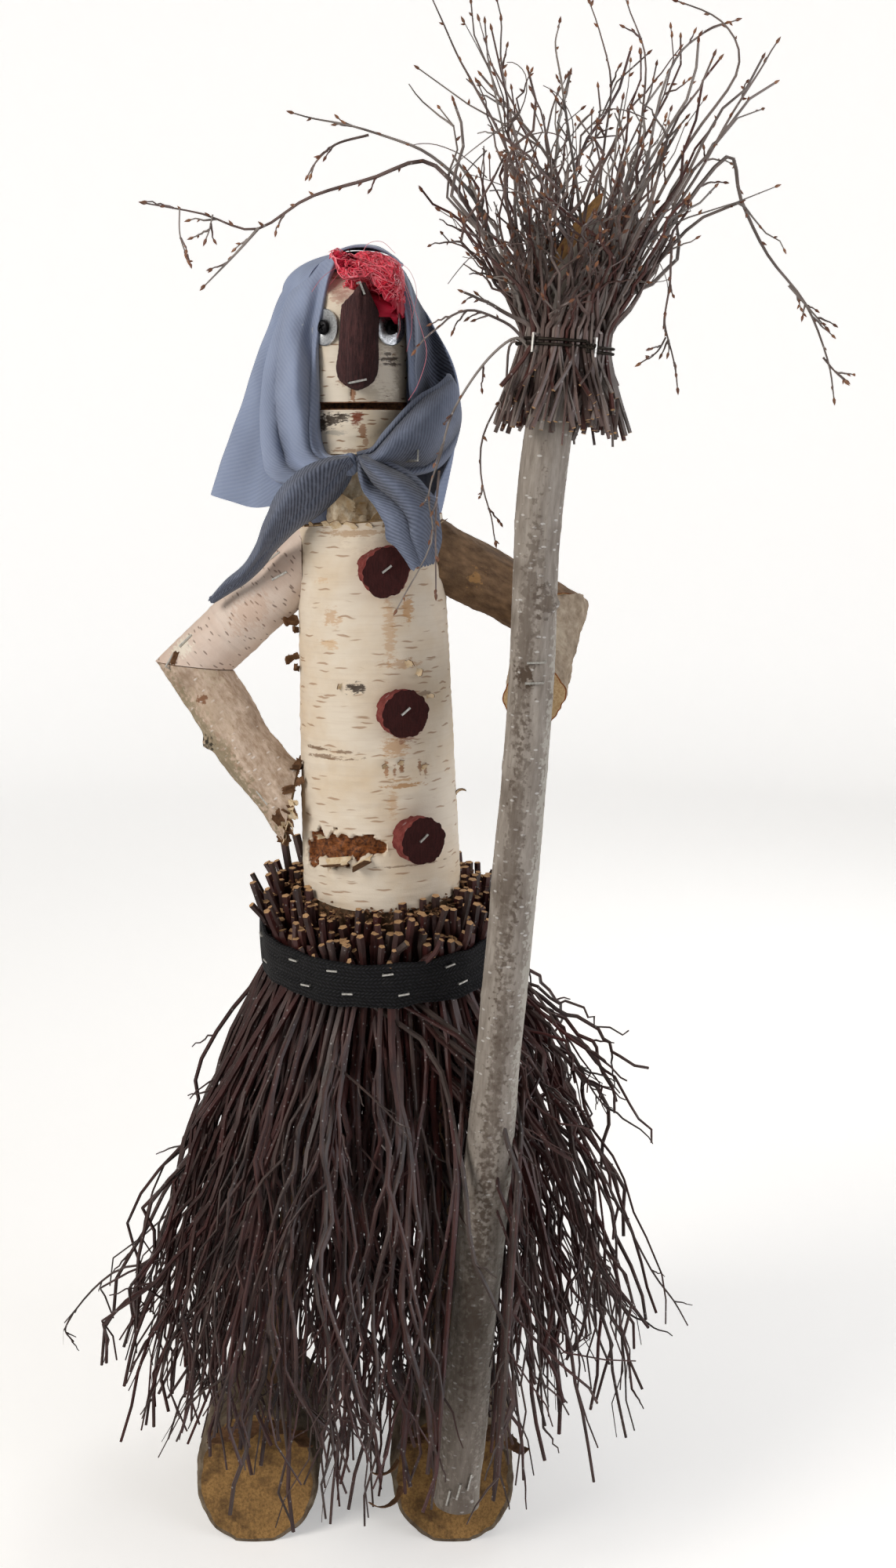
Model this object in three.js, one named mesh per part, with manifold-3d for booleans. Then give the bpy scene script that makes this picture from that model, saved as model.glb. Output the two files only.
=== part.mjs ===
// Wooden witch garden figure: birch log body, twig skirt and broom, cloth headscarf.
// Millimetres, +z up. The figure faces -y, its left hand is at +x, and it stands on z = 0.
import * as THREE from "three";
import { mergeVertices } from "three/addons/utils/BufferGeometryUtils.js";
import Module from "manifold-3d";

const wasm = await Module();
wasm.setup();

// Fits between touching pieces
const seatGap = 0.3;
const dowelGap = 0.3;

// Waist: where the torso stands on the twig bundle
const waistHeight = 421;
const waistX = 3;
const waistTilt = 10;

// Torso log
const torsoLength = 234;
const torsoBottomRadius = 51.5;
const torsoTopRadius = 46;
const torsoLean = 1.5;
const torsoTopSlope = 3.6;

// Neck and head logs
const neckRadius = 18;
const neckLength = 41;
const headRadius = 29.5;
const headLength = 110;
const headX = -9;
const crownChamfer = 9;
const browBevelDrop = 21;
const mouthHeight = 29;
const mouthKerf = 3.6;
const mouthDepth = 18;

// Nose, a split piece of branch
const noseLength = 62;
const noseWidth = 25;
const noseProud = 23;
const nosePeak = 17;
const noseChin = 39;
const noseOffsetX = -1;
const noseLean = 4.2;

// Eyes
const eyeHeight = 76;
const eyeTurn = 41;
const washerRadius = 11;
const washerHoleRadius = 2.7;
const washerThickness = 1.6;
const screwHeadRadius = 5.4;
const screwHeadHeight = 3;
const screwShankRadius = 2;
const screwLength = 22;
const crossSlotWidth = 1.2;
const crossSlotLength = 5.2;
const crossSlotDepth = 1.6;

// Buttons, slices of dark branch
const buttonRadius = 15;
const buttonThickness = 13;
const buttonDrops = [29, 116, 196];
const buttonTurns = [11, 19, 27];
const buttonNames = ["button_top", "button_middle", "button_bottom"];
const faceStapleLeg = 15;

// Right arm, hand on the hip
const rightShoulderDrop = 28;
const rightElbowReach = [-68, 5, -64];
const rightHandHeight = 54;
const rightHandAside = 6.5;
const rightHandForward = 9;
const rightUpperRadius = 20.5;
const rightForeRadius = 18.5;
const handCutLean = 12;

// Left arm, behind the broom handle
const leftShoulderDrop = 26;
const leftElbowReach = [70.5, 16, -37];
const leftHandDrop = 76;
const leftUpperRadius = 20;
const leftForeRadius = 18.5;
const leftHandOffset = 2;

// Dowels
const neckDowelRadius = 6;
const neckDowelDepth = 24;
const waistDowelRadius = 8;
const waistDowelDepth = 30;
const shoulderDowelRadius = 4;
const shoulderDowelDepth = 24;
const shoulderDowelReach = 19;

// Hip core and legs
const coreRadius = 50;
const coreHeight = 50;
const legRadius = 11;
const legSocketDepth = 24;
const legTopSpread = 24;

// Shoes, short log pieces
const shoeRadius = 40;
const shoeSole = 36;
const shoeHeel = 34;
const shoeToe = 84;
const shoeToeLean = 20;
const rightShoeX = -79;
const leftShoeX = 49;
const shoeLegY = -14;

// Broom handle
const handleBottomRadius = 15;
const handleTopRadius = 13.3;
const handleBottomX = 51.5;
const handleBottomHeight = 30;
const handleTopX = 119.5;
const handleAboveWire = 81;
const handleForward = 8;
const handleKnotRadius = 4;
const handleKnotLength = 5;
const handleKnotHeight = 612;
const handleKnotDirection = [0.75, -0.66, 0.1];
const handleTipLean = 55;
const handleTipForward = 0.2;

// Broom twigs
const broomWireHeight = 757;
const broomRingRadius = 27;
const broomRingHeight = 10;
const broomLength = 205;
const broomSpread = 104;
const broomTwigRadius = 1.75;
const broomLayers = [40, 28, 20];
const buttLength = 38;
const buttSpread = 37;
const buttRadius = 2.1;
const buttLayers = [26, 14];

// Binding wire
const wireRadius = 0.9;
const wirePitch = 2.8;
const wireTurns = 2;
const wireTail = 9;
const wireSteps = 24;
const wireSides = 6;

// Twig skirt
const skirtRadius = 78;
const skirtRingTop = -23;
const skirtRingHeight = 31;
const skirtTwigRadius = 2.1;
const skirtHemRadius = 186;
const skirtHemHeight = 82;
const skirtHemRagged = 38;
const skirtLayers = [84, 50, 30];
const skirtHemShares = [1, 0.76, 0.5];
const skirtStubs = [40, 20];
const stubTwigRadius = 2.5;
const stubRise = 21;
const twigClearance = 4;

// Belt
const beltWidth = 30;
const beltThickness = 2;
const beltStapleTurns = [-74, -42, -21, 4, 33];

// Headscarf
const clothThickness = 2.4;
const scarfPoleOffset = [3, 4];
const scarfCrownRise = 13;
const scarfTempleDrop = 11;
const hoodTurns = [-122, -90, -45, 0, 45, 90, 108];
const hoodTempleRadii = [36, 48, 40, 32, 30.5, 29.5, 31];
const hoodHemRadii = [47, 99, 76, 54, 52, 46, 40];
const hoodDrops = [98, 123, 152, 182, 152, 122, 112];
const hoodRightBulge = 16;
const hoodFoldDepth = 3;
const hoodFoldCount = 7;
const hoodColumns = 21;
const hoodRows = 9;
const knotOffset = [-4, -19.5, -6];
const knotRadius = 9;

// Hair
const hairOffset = [7, -8, -17];
const hairSize = [29, 24, 29];
const hairBack = 2;
const hairAboveEye = 4;

// Staples
const stapleCrown = 11;
const stapleNarrowCrown = 7;
const stapleLeg = 8;
const stapleLongLeg = 17;
const stapleWire = 1.2;
const stapleWireThick = 0.8;

// Sides of the round pieces
const logSides = 30;
const limbSides = 22;
const smallSides = 16;
const ringSides = 24;
const surfaceTolerance = 0.01;

const finish = (colour, roughness, metalness = 0) =>
  new THREE.MeshStandardMaterial({ color: colour, roughness, metalness });
const materials = {
  birch: finish(0xe3d8c2, 0.72),
  greyBark: finish(0x84715c, 0.88),
  neckBark: finish(0xa0937c, 0.9),
  darkBark: finish(0x37241f, 0.78),
  redBark: finish(0x571a1c, 0.82),
  handleBark: finish(0x958b82, 0.7),
  sawnWood: finish(0xa8763c, 0.85),
  dowel: finish(0xc9a877, 0.7),
  skirtTwig: finish(0x432c2b, 0.74),
  broomTwig: finish(0x55423d, 0.76),
  cloth: finish(0x5c6474, 0.9),
  webbing: finish(0x17171a, 0.86),
  sisal: finish(0xd0283f, 0.6),
  steel: finish(0xc3c5c6, 0.32, 1),
  blackSteel: finish(0x2a2a2c, 0.42, 1),
};

const figure = new THREE.Group();
const rad = THREE.MathUtils.degToRad;
const vec = (x, y, z) => new THREE.Vector3(x, y, z);
const upAxis = vec(0, 0, 1);

// Turns a closed geometry into a solid, placed by a matrix.
function solidFrom(geometry, matrix = new THREE.Matrix4()) {
  const bare = geometry.clone();
  bare.deleteAttribute("normal");
  bare.deleteAttribute("uv");
  bare.applyMatrix4(matrix);
  const merged = mergeVertices(bare, 1e-4);
  const index = Array.from(merged.index.array);
  const triangles = [];
  for (let i = 0; i < index.length; i += 3) {
    const [a, b, c] = index.slice(i, i + 3);
    if (a !== b && b !== c && c !== a) triangles.push(a, b, c);
  }
  return new wasm.Manifold(
    new wasm.Mesh({
      numProp: 3,
      vertProperties: new Float32Array(merged.attributes.position.array),
      triVerts: new Uint32Array(triangles),
    }),
  );
}

// Turns a solid back into a geometry, without the needless edges that a cut leaves.
function geometryFrom(solid) {
  const mesh = solid.asOriginal().simplify(surfaceTolerance).getMesh();
  const geometry = new THREE.BufferGeometry();
  geometry.setAttribute("position", new THREE.BufferAttribute(mesh.vertProperties, 3));
  geometry.setIndex(new THREE.BufferAttribute(mesh.triVerts, 1));
  const flat = geometry.toNonIndexed();
  flat.computeVertexNormals();
  return flat;
}

// The solid of a placed mesh, in the figure's frame.
function solidOf(mesh) {
  mesh.updateWorldMatrix(true, false);
  return solidFrom(mesh.geometry, mesh.matrixWorld);
}

// Gives a mesh a new solid that is written in the figure's frame.
function setSolid(mesh, solid) {
  mesh.updateWorldMatrix(true, false);
  mesh.geometry = geometryFrom(solid);
  mesh.geometry.applyMatrix4(mesh.matrixWorld.clone().invert());
}

function carve(mesh, ...tools) {
  let solid = solidOf(mesh);
  for (const tool of tools) solid = solid.subtract(tool);
  setSolid(mesh, solid);
}

// The largest body of a solid, without the crumbs that a cut leaves.
function mainBody(solid) {
  const bodies = solid.decompose();
  return bodies.reduce((best, body) => (body.volume() > best.volume() ? body : best));
}

function addMesh(name, geometry, material, parent = figure) {
  const mesh = new THREE.Mesh(geometry, material);
  mesh.name = name;
  parent.add(mesh);
  return mesh;
}

function matrixAt(position, quaternion = new THREE.Quaternion()) {
  return new THREE.Matrix4().compose(position, quaternion, vec(1, 1, 1));
}

const turnFromUp = (direction) =>
  new THREE.Quaternion().setFromUnitVectors(upAxis, direction.clone().normalize());

// A block that fills the side of a plane that its normal points to.
function beyondPlane(point, normal, reach = 400) {
  const block = new THREE.BoxGeometry(2 * reach, 2 * reach, reach);
  block.translate(0, 0, reach / 2);
  return solidFrom(block, matrixAt(point, turnFromUp(normal)));
}

// A log along +z from the origin, tapering from one radius to the other.
function logGeometry(length, bottomRadius, topRadius, sides, unevenness = 0, rings = 4) {
  const profile = [new THREE.Vector2(0, 0)];
  for (let i = 0; i <= rings; i++) {
    const share = i / rings;
    const swell = unevenness * Math.sin(Math.PI * (2.3 * share + 0.4));
    const radius = bottomRadius + (topRadius - bottomRadius) * share + swell;
    profile.push(new THREE.Vector2(radius, length * share));
  }
  profile.push(new THREE.Vector2(0, length));
  return new THREE.LatheGeometry(profile, sides).rotateX(Math.PI / 2);
}

function logBetween(name, from, to, fromRadius, toRadius, material, sides, overrun = 0, unevenness = 0) {
  const along = to.clone().sub(from);
  const length = along.length() + 2 * overrun;
  const mesh = addMesh(name, logGeometry(length, fromRadius, toRadius, sides, unevenness), material);
  mesh.quaternion.copy(turnFromUp(along));
  mesh.position.copy(from).addScaledVector(along.normalize(), -overrun);
  return mesh;
}

// A straight round hole or dowel between two points.
function rodSolid(from, to, radius, sides = smallSides) {
  const along = to.clone().sub(from);
  const geometry = logGeometry(along.length(), radius, radius, sides, 0, 1);
  return solidFrom(geometry, matrixAt(from, turnFromUp(along)));
}

function addDowel(name, from, to, radius, hosts) {
  const along = to.clone().sub(from);
  const mesh = addMesh(name, logGeometry(along.length(), radius, radius, smallSides, 0, 1), materials.dowel);
  mesh.quaternion.copy(turnFromUp(along));
  mesh.position.copy(from);
  const extra = along.clone().normalize().multiplyScalar(dowelGap);
  const bore = rodSolid(from.clone().sub(extra), to.clone().add(extra), radius + dowelGap);
  for (const host of hosts) carve(host, bore);
}

// A staple pressed in at a point. Its legs run against the normal, its crown along the grain.
function addStaple(name, point, normal, along, hosts, shape = {}) {
  const crown = shape.crown ?? stapleCrown;
  const leg = shape.leg ?? stapleLeg;
  const lift = shape.lift ?? seatGap;
  const half = crown / 2;
  const outline = new THREE.Shape();
  outline.moveTo(-half, -leg);
  outline.lineTo(-half + stapleWire, -leg);
  outline.lineTo(-half + stapleWire, lift);
  outline.lineTo(half - stapleWire, lift);
  outline.lineTo(half - stapleWire, -leg);
  outline.lineTo(half, -leg);
  outline.lineTo(half, lift + stapleWireThick);
  outline.lineTo(-half, lift + stapleWireThick);
  const geometry = new THREE.ExtrudeGeometry(outline, { depth: stapleWire, bevelEnabled: false });
  geometry.translate(0, 0, -stapleWire / 2);
  const up = normal.clone().normalize();
  const side = along.clone().projectOnPlane(up).normalize();
  const basis = new THREE.Matrix4().makeBasis(side, up, side.clone().cross(up));
  const mesh = addMesh(name, geometry, materials.steel);
  mesh.quaternion.setFromRotationMatrix(basis);
  mesh.position.copy(point);
  mesh.updateWorldMatrix(true, false);
  const slotWidth = stapleWire + 2 * seatGap;
  const slotTop = lift + stapleWireThick + seatGap;
  for (const end of [-1, 1]) {
    const slot = new THREE.BoxGeometry(slotWidth, leg + seatGap + slotTop, slotWidth);
    slot.translate(end * (half - stapleWire / 2), (slotTop - leg - seatGap) / 2, 0);
    const slotSolid = solidFrom(slot, mesh.matrixWorld);
    for (const host of hosts) carve(host, slotSolid);
  }
  return mesh;
}

// A repeatable spread of values between -1 and 1.
function spreadFrom(seed) {
  let state = seed;
  return () => {
    state = (state * 16807) % 2147483647;
    return (2 * state) / 2147483647 - 1;
  };
}

// A closed tapering tube through points. A last radius of 0 ends it in a point.
function taperedTube(points, radii, sides) {
  const positions = [];
  const index = [];
  const pointed = radii[radii.length - 1] === 0;
  const ringCount = pointed ? points.length - 1 : points.length;
  const frame = new THREE.Quaternion();
  const direction = upAxis.clone();
  for (let i = 0; i < ringCount; i++) {
    const before = points[Math.max(0, i - 1)];
    const after = points[Math.min(points.length - 1, i + 1)];
    const tangent = after.clone().sub(before).normalize();
    frame.premultiply(new THREE.Quaternion().setFromUnitVectors(direction, tangent));
    direction.copy(tangent);
    for (let k = 0; k < sides; k++) {
      const angle = (2 * Math.PI * k) / sides;
      const offset = vec(Math.cos(angle), Math.sin(angle), 0).multiplyScalar(radii[i]);
      positions.push(...points[i].clone().add(offset.applyQuaternion(frame)).toArray());
    }
  }
  for (let i = 0; i + 1 < ringCount; i++) {
    for (let k = 0; k < sides; k++) {
      const next = (k + 1) % sides;
      const [a, b] = [i * sides + k, i * sides + next];
      index.push(a, b, b + sides, a, b + sides, a + sides);
    }
  }
  for (let k = 1; k + 1 < sides; k++) index.push(0, k + 1, k);
  const lastRing = (ringCount - 1) * sides;
  if (pointed) {
    positions.push(...points[points.length - 1].toArray());
    for (let k = 0; k < sides; k++) index.push(lastRing + k, lastRing + ((k + 1) % sides), lastRing + sides);
  } else {
    for (let k = 1; k + 1 < sides; k++) index.push(lastRing, lastRing + k, lastRing + k + 1);
  }
  const geometry = new THREE.BufferGeometry();
  geometry.setAttribute("position", new THREE.Float32BufferAttribute(positions, 3));
  geometry.setIndex(index);
  return geometry;
}

// A closed sheet of one thickness from a grid of points and the outward direction at each.
function sheetGeometry(rows, outward, thickness, lift = 0) {
  const height = rows.length;
  const width = rows[0].length;
  const positions = [];
  const index = [];
  for (const depth of [lift, lift + thickness]) {
    for (let i = 0; i < height; i++) {
      for (let j = 0; j < width; j++) {
        const point = rows[i][j].clone().addScaledVector(outward[i][j], depth);
        positions.push(...point.toArray());
      }
    }
  }
  const layer = height * width;
  const quad = (a, b, c, d) => index.push(a, b, c, a, c, d);
  for (let i = 0; i + 1 < height; i++) {
    for (let j = 0; j + 1 < width; j++) {
      const a = i * width + j;
      quad(a, a + 1, a + width + 1, a + width);
      quad(layer + a, layer + a + width, layer + a + width + 1, layer + a + 1);
    }
  }
  for (let i = 0; i + 1 < height; i++) {
    const left = i * width;
    const right = left + width - 1;
    quad(left, left + width, layer + left + width, layer + left);
    quad(right, layer + right, layer + right + width, right + width);
  }
  for (let j = 0; j + 1 < width; j++) {
    const bottom = (height - 1) * width + j;
    quad(j, layer + j, layer + j + 1, j + 1);
    quad(bottom, bottom + 1, layer + bottom + 1, layer + bottom);
  }
  const geometry = new THREE.BufferGeometry();
  geometry.setAttribute("position", new THREE.Float32BufferAttribute(positions, 3));
  geometry.setIndex(index);
  return geometry;
}

// The outward direction at each point of a grid, from its neighbours.
function gridNormals(rows) {
  return rows.map((row, i) =>
    row.map((point, j) => {
      const down = rows[Math.min(rows.length - 1, i + 1)][j].clone();
      down.sub(rows[Math.max(0, i - 1)][j]);
      const across = row[Math.min(row.length - 1, j + 1)].clone();
      across.sub(row[Math.max(0, j - 1)]);
      const normal = down.cross(across);
      return normal.lengthSq() > 0 ? normal.normalize() : upAxis.clone();
    }),
  );
}

// Frames of the main pieces
const waist = new THREE.Group();
waist.position.set(waistX, 0, waistHeight);
waist.rotation.x = rad(waistTilt);
figure.add(waist);
const torsoFrame = new THREE.Group();
torsoFrame.position.set(waistX, 0, waistHeight);
torsoFrame.rotation.y = -rad(torsoLean);
figure.add(torsoFrame);
figure.updateMatrixWorld(true);
const waistPoint = vec(waistX, 0, waistHeight);
const waistNormal = upAxis.clone().transformDirection(waist.matrixWorld);
const inWaist = (x, y, z) => vec(x, y, z).applyMatrix4(waist.matrixWorld);
const inTorso = (x, y, z) => vec(x, y, z).applyMatrix4(torsoFrame.matrixWorld);
const torsoRadiusAt = (height) =>
  torsoBottomRadius + ((torsoTopRadius - torsoBottomRadius) * height) / torsoLength;
const torsoTaper = (torsoBottomRadius - torsoTopRadius) / torsoLength;
const torsoOutward = (turn) =>
  vec(Math.sin(turn), -Math.cos(turn), torsoTaper).transformDirection(torsoFrame.matrixWorld);

// Torso log, cut level with the twig bundle below and a little sloping above
const torsoOverrun = 20;
const torsoGeometry = logGeometry(
  torsoLength + 2 * torsoOverrun,
  torsoRadiusAt(-torsoOverrun),
  torsoRadiusAt(torsoLength + torsoOverrun),
  logSides,
);
torsoGeometry.translate(0, 0, -torsoOverrun);
const torso = addMesh("torso_log", torsoGeometry, materials.birch, torsoFrame);
const torsoTopPoint = inTorso(0, 0, torsoLength);
const torsoTopNormal = vec(-Math.sin(rad(torsoLean + torsoTopSlope)), 0, Math.cos(rad(torsoLean + torsoTopSlope)));
carve(
  torso,
  beyondPlane(waistPoint.clone().addScaledVector(waistNormal, seatGap), waistNormal.clone().negate()),
  beyondPlane(torsoTopPoint, torsoTopNormal),
);

// Neck log
const headBottom = torsoTopPoint.z + neckLength;
const neckX = headX - 2;
const neckBase = torsoTopPoint.z - neckRadius;
const neck = logBetween(
  "neck_log",
  vec(neckX, 0, neckBase),
  vec(neckX, 0, headBottom - seatGap),
  neckRadius + 1,
  neckRadius,
  materials.neckBark,
  limbSides,
);
carve(
  neck,
  beyondPlane(torsoTopPoint.clone().addScaledVector(torsoTopNormal, seatGap), torsoTopNormal.clone().negate()),
);

// Head log, with its chamfered crown, bevelled brow and the saw cut of the mouth
const headTop = headBottom + headLength;
const headProfile = [
  new THREE.Vector2(0, 0),
  new THREE.Vector2(headRadius, 0),
  new THREE.Vector2(headRadius, headLength / 2),
  new THREE.Vector2(headRadius, headLength - crownChamfer),
  new THREE.Vector2(headRadius - crownChamfer, headLength),
  new THREE.Vector2(0, headLength),
];
const head = addMesh(
  "head_log",
  new THREE.LatheGeometry(headProfile, logSides).rotateX(Math.PI / 2),
  materials.birch,
);
head.position.set(headX, 0, headBottom);
const mouth = new THREE.BoxGeometry(4 * headRadius, 2 * mouthDepth, mouthKerf);
carve(
  head,
  beyondPlane(vec(headX, -headRadius, headTop - browBevelDrop), vec(0, -1, 1)),
  solidFrom(mouth, matrixAt(vec(headX, -headRadius, headBottom + mouthHeight))),
);
const headHull = (extra) =>
  rodSolid(vec(headX, 0, headBottom - extra), vec(headX, 0, headTop + extra), headRadius + extra, logSides);

// Hip core
const core = addMesh(
  "hip_core",
  logGeometry(coreHeight, coreRadius, coreRadius, logSides, 0, 1),
  materials.sawnWood,
  waist,
);
core.position.set(0, 0, -coreHeight);

addDowel(
  "waist_dowel",
  waistPoint.clone().addScaledVector(upAxis, -waistDowelDepth),
  waistPoint.clone().addScaledVector(upAxis, waistDowelDepth),
  waistDowelRadius,
  [core, torso],
);
addDowel(
  "neck_dowel",
  vec(neckX, 0, torsoTopPoint.z - neckDowelDepth),
  vec(neckX, 0, headBottom + neckDowelDepth),
  neckDowelRadius,
  [torso, neck, head],
);

// Shoes and legs
const soleCut = beyondPlane(vec(0, 0, 0), vec(0, 0, -1));
const toeLean = rad(shoeToeLean);
const toeNormal = vec(0, -Math.cos(toeLean), Math.sin(toeLean));
const toePoint = (x) => vec(x, -shoeToe, 0);
for (const [side, shoeX, sign] of [
  ["right", rightShoeX, -1],
  ["left", leftShoeX, 1],
]) {
  const shoe = logBetween(
    "shoe_" + side,
    vec(shoeX, shoeHeel, shoeSole),
    vec(shoeX, -shoeToe - 2, shoeSole),
    shoeRadius,
    shoeRadius + 1,
    materials.sawnWood,
    logSides,
  );
  carve(shoe, soleCut, beyondPlane(toePoint(shoeX), toeNormal));
  const legTop = inWaist(sign * legTopSpread, 0, -coreHeight + legSocketDepth);
  const legFoot = vec(shoeX, shoeLegY, shoeSole + shoeRadius - legSocketDepth);
  const leg = logBetween("leg_" + side, legFoot, legTop, legRadius + 1, legRadius, materials.greyBark, smallSides);
  const down = legFoot.clone().sub(legTop).normalize();
  const socket = rodSolid(
    legFoot.clone().addScaledVector(down, seatGap),
    legTop.clone().addScaledVector(down, -seatGap),
    legRadius + 1 + 2 * seatGap,
  );
  carve(shoe, socket);
  carve(core, socket);
}
const shoeLeft = figure.getObjectByName("shoe_left");

// Broom handle, leaning against the left shoe's toe face and the end of the left forearm
const handleFootY = handleBottomHeight * Math.tan(toeLean) - shoeToe - handleBottomRadius;
const handleFoot = vec(handleBottomX, handleFootY, handleBottomHeight);
const handleTopHeight = broomWireHeight + handleAboveWire;
const handleShare = (height) => (height - handleBottomHeight) / (handleTopHeight - handleBottomHeight);
const leftHandHeight = inTorso(0, 0, torsoLength - leftShoulderDrop - leftHandDrop).z;
const handleHead = vec(handleTopX, handleFootY - handleForward / handleShare(leftHandHeight), handleTopHeight);
const onHandle = (height) => handleFoot.clone().lerp(handleHead, handleShare(height));
const handleRadiusAt = (height) =>
  handleBottomRadius + (handleTopRadius - handleBottomRadius) * handleShare(height);
const handleAxis = handleHead.clone().sub(handleFoot).normalize();
const handle = logBetween(
  "broom_handle",
  handleFoot,
  handleHead,
  handleBottomRadius,
  handleTopRadius,
  materials.handleBark,
  limbSides,
);
const tipLean = rad(handleTipLean);
const tipNormal = vec(-Math.sin(tipLean), -handleTipForward, Math.cos(tipLean));
carve(
  handle,
  beyondPlane(handleHead.clone().addScaledVector(handleAxis, -handleTopRadius), tipNormal),
  beyondPlane(toePoint(leftShoeX).addScaledVector(toeNormal, seatGap), toeNormal.clone().negate(), 2 * shoeRadius),
);
const knotRoot = onHandle(handleKnotHeight);
const knotDirection = vec(...handleKnotDirection).normalize();
const knotStub = rodSolid(
  knotRoot,
  knotRoot.clone().addScaledVector(knotDirection, handleRadiusAt(handleKnotHeight) + handleKnotLength),
  handleKnotRadius,
  8,
);
setSolid(handle, solidOf(handle).add(knotStub));

// The plane that a mitred joint of two limbs is sawn along
function mitre(from, joint, to) {
  const normal = joint.clone().sub(from).normalize().add(to.clone().sub(joint).normalize()).normalize();
  return {
    upper: beyondPlane(joint.clone().addScaledVector(normal, -seatGap / 2), normal),
    lower: beyondPlane(joint.clone().addScaledVector(normal, seatGap / 2), normal.clone().negate()),
  };
}

// An arm: upper arm from the torso's side to the elbow, forearm from the elbow to its cut end
function addArm(side, sign, shoulderDrop, elbowReach, hand, upperRadius, foreRadius, upperMaterial, foreMaterial) {
  const shoulderHeight = torsoLength - shoulderDrop;
  const shoulder = inTorso(sign * (torsoRadiusAt(shoulderHeight) + seatGap), 0, shoulderHeight);
  const elbow = shoulder.clone().add(vec(...elbowReach));
  const upper = logBetween(
    "upper_arm_" + side,
    shoulder,
    elbow,
    upperRadius,
    foreRadius + 0.5,
    upperMaterial,
    limbSides,
    2.2 * upperRadius,
  );
  const fore = logBetween(
    "forearm_" + side,
    elbow,
    hand,
    foreRadius + 0.5,
    foreRadius,
    foreMaterial,
    limbSides,
    2.2 * foreRadius,
  );
  const cut = mitre(shoulder, elbow, hand);
  const sideNormal = torsoOutward((sign * Math.PI) / 2);
  carve(upper, cut.upper, beyondPlane(shoulder, sideNormal.clone().negate()));
  carve(fore, cut.lower);
  addDowel(
    "shoulder_dowel_" + side,
    shoulder.clone().addScaledVector(sideNormal, -shoulderDowelDepth),
    shoulder.clone().addScaledVector(sideNormal, shoulderDowelReach),
    shoulderDowelRadius,
    [torso, upper],
  );
  return { shoulder, elbow, upper, fore };
}

const handOut = torsoRadiusAt(rightHandHeight) + rightHandAside;
const rightHandPoint = inTorso(-handOut, -rightHandForward, rightHandHeight);
const rightArm = addArm(
  "right",
  -1,
  rightShoulderDrop,
  rightElbowReach,
  rightHandPoint,
  rightUpperRadius,
  rightForeRadius,
  materials.birch,
  materials.birch,
);
const handLean = rad(handCutLean);
carve(rightArm.fore, beyondPlane(rightHandPoint, vec(Math.cos(handLean), 0, -Math.sin(handLean))));

const leftHandAxis = onHandle(leftHandHeight);
const handleBack = vec(0, 1, 0).projectOnPlane(handleAxis).normalize();
const leftHandPoint = leftHandAxis
  .clone()
  .addScaledVector(handleBack, handleRadiusAt(leftHandHeight - leftForeRadius) + seatGap)
  .add(vec(leftHandOffset, 0, 0));
const leftArm = addArm(
  "left",
  1,
  leftShoulderDrop,
  leftElbowReach,
  leftHandPoint,
  leftUpperRadius,
  leftForeRadius,
  materials.greyBark,
  materials.greyBark,
);
carve(leftArm.fore, beyondPlane(leftHandPoint, handleBack.clone().negate()));

// Eyes: a washer and a cross-slot screw each
const washerProfile = [
  new THREE.Vector2(washerHoleRadius, 0),
  new THREE.Vector2(washerRadius, 0),
  new THREE.Vector2(washerRadius, washerThickness),
  new THREE.Vector2(washerHoleRadius, washerThickness),
  new THREE.Vector2(washerHoleRadius, 0),
];
const screwProfile = [
  new THREE.Vector2(0, -screwLength),
  new THREE.Vector2(screwShankRadius, -screwLength + 2 * screwShankRadius),
  new THREE.Vector2(screwShankRadius, 0),
  new THREE.Vector2(screwHeadRadius, 0),
  new THREE.Vector2(screwHeadRadius, 0.35 * screwHeadHeight),
  new THREE.Vector2(0.7 * screwHeadRadius, 0.82 * screwHeadHeight),
  new THREE.Vector2(0, screwHeadHeight),
];
const eyeRooms = [];
for (const [side, sign] of [
  ["right", -1],
  ["left", 1],
]) {
  const turn = rad(eyeTurn);
  const outward = vec(sign * Math.sin(turn), -Math.cos(turn), 0);
  const seat = vec(headX, 0, headBottom + eyeHeight).addScaledVector(outward, headRadius + seatGap);
  const facing = turnFromUp(outward);
  const washer = addMesh(
    "eye_washer_" + side,
    new THREE.LatheGeometry(washerProfile, smallSides + 4).rotateX(Math.PI / 2),
    materials.steel,
  );
  washer.position.copy(seat);
  washer.quaternion.copy(facing);
  const screw = addMesh(
    "eye_screw_" + side,
    new THREE.LatheGeometry(screwProfile, smallSides - 4).rotateX(Math.PI / 2),
    materials.blackSteel,
  );
  screw.position.copy(seat).addScaledVector(outward, washerThickness + seatGap);
  screw.quaternion.copy(facing);
  screw.updateWorldMatrix(true, false);
  const slotAt = 2 * (screwHeadHeight - crossSlotDepth);
  const slots = [
    new THREE.BoxGeometry(crossSlotLength, crossSlotWidth, slotAt + 2 * crossSlotDepth),
    new THREE.BoxGeometry(crossSlotWidth, crossSlotLength, slotAt + 2 * crossSlotDepth),
  ];
  for (const slot of slots) {
    slot.translate(0, 0, screwHeadHeight + slotAt / 2);
    carve(screw, solidFrom(slot, screw.matrixWorld));
  }
  const shankEnd = screw.position.clone().addScaledVector(outward, -screwLength - seatGap);
  carve(head, rodSolid(shankEnd, seat.clone().addScaledVector(outward, 1), screwShankRadius + seatGap));
  const roomFoot = seat.clone().addScaledVector(outward, -seatGap);
  const washerTop = seat.clone().addScaledVector(outward, washerThickness + 2 * seatGap);
  const screwTop = washerTop.clone().addScaledVector(outward, screwHeadHeight + seatGap);
  eyeRooms.push(rodSolid(roomFoot, washerTop, washerRadius + seatGap, smallSides + 4));
  eyeRooms.push(rodSolid(washerTop, screwTop, screwHeadRadius + 2 * seatGap, smallSides));
}
const eyeRoom = wasm.Manifold.union(eyeRooms);

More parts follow.
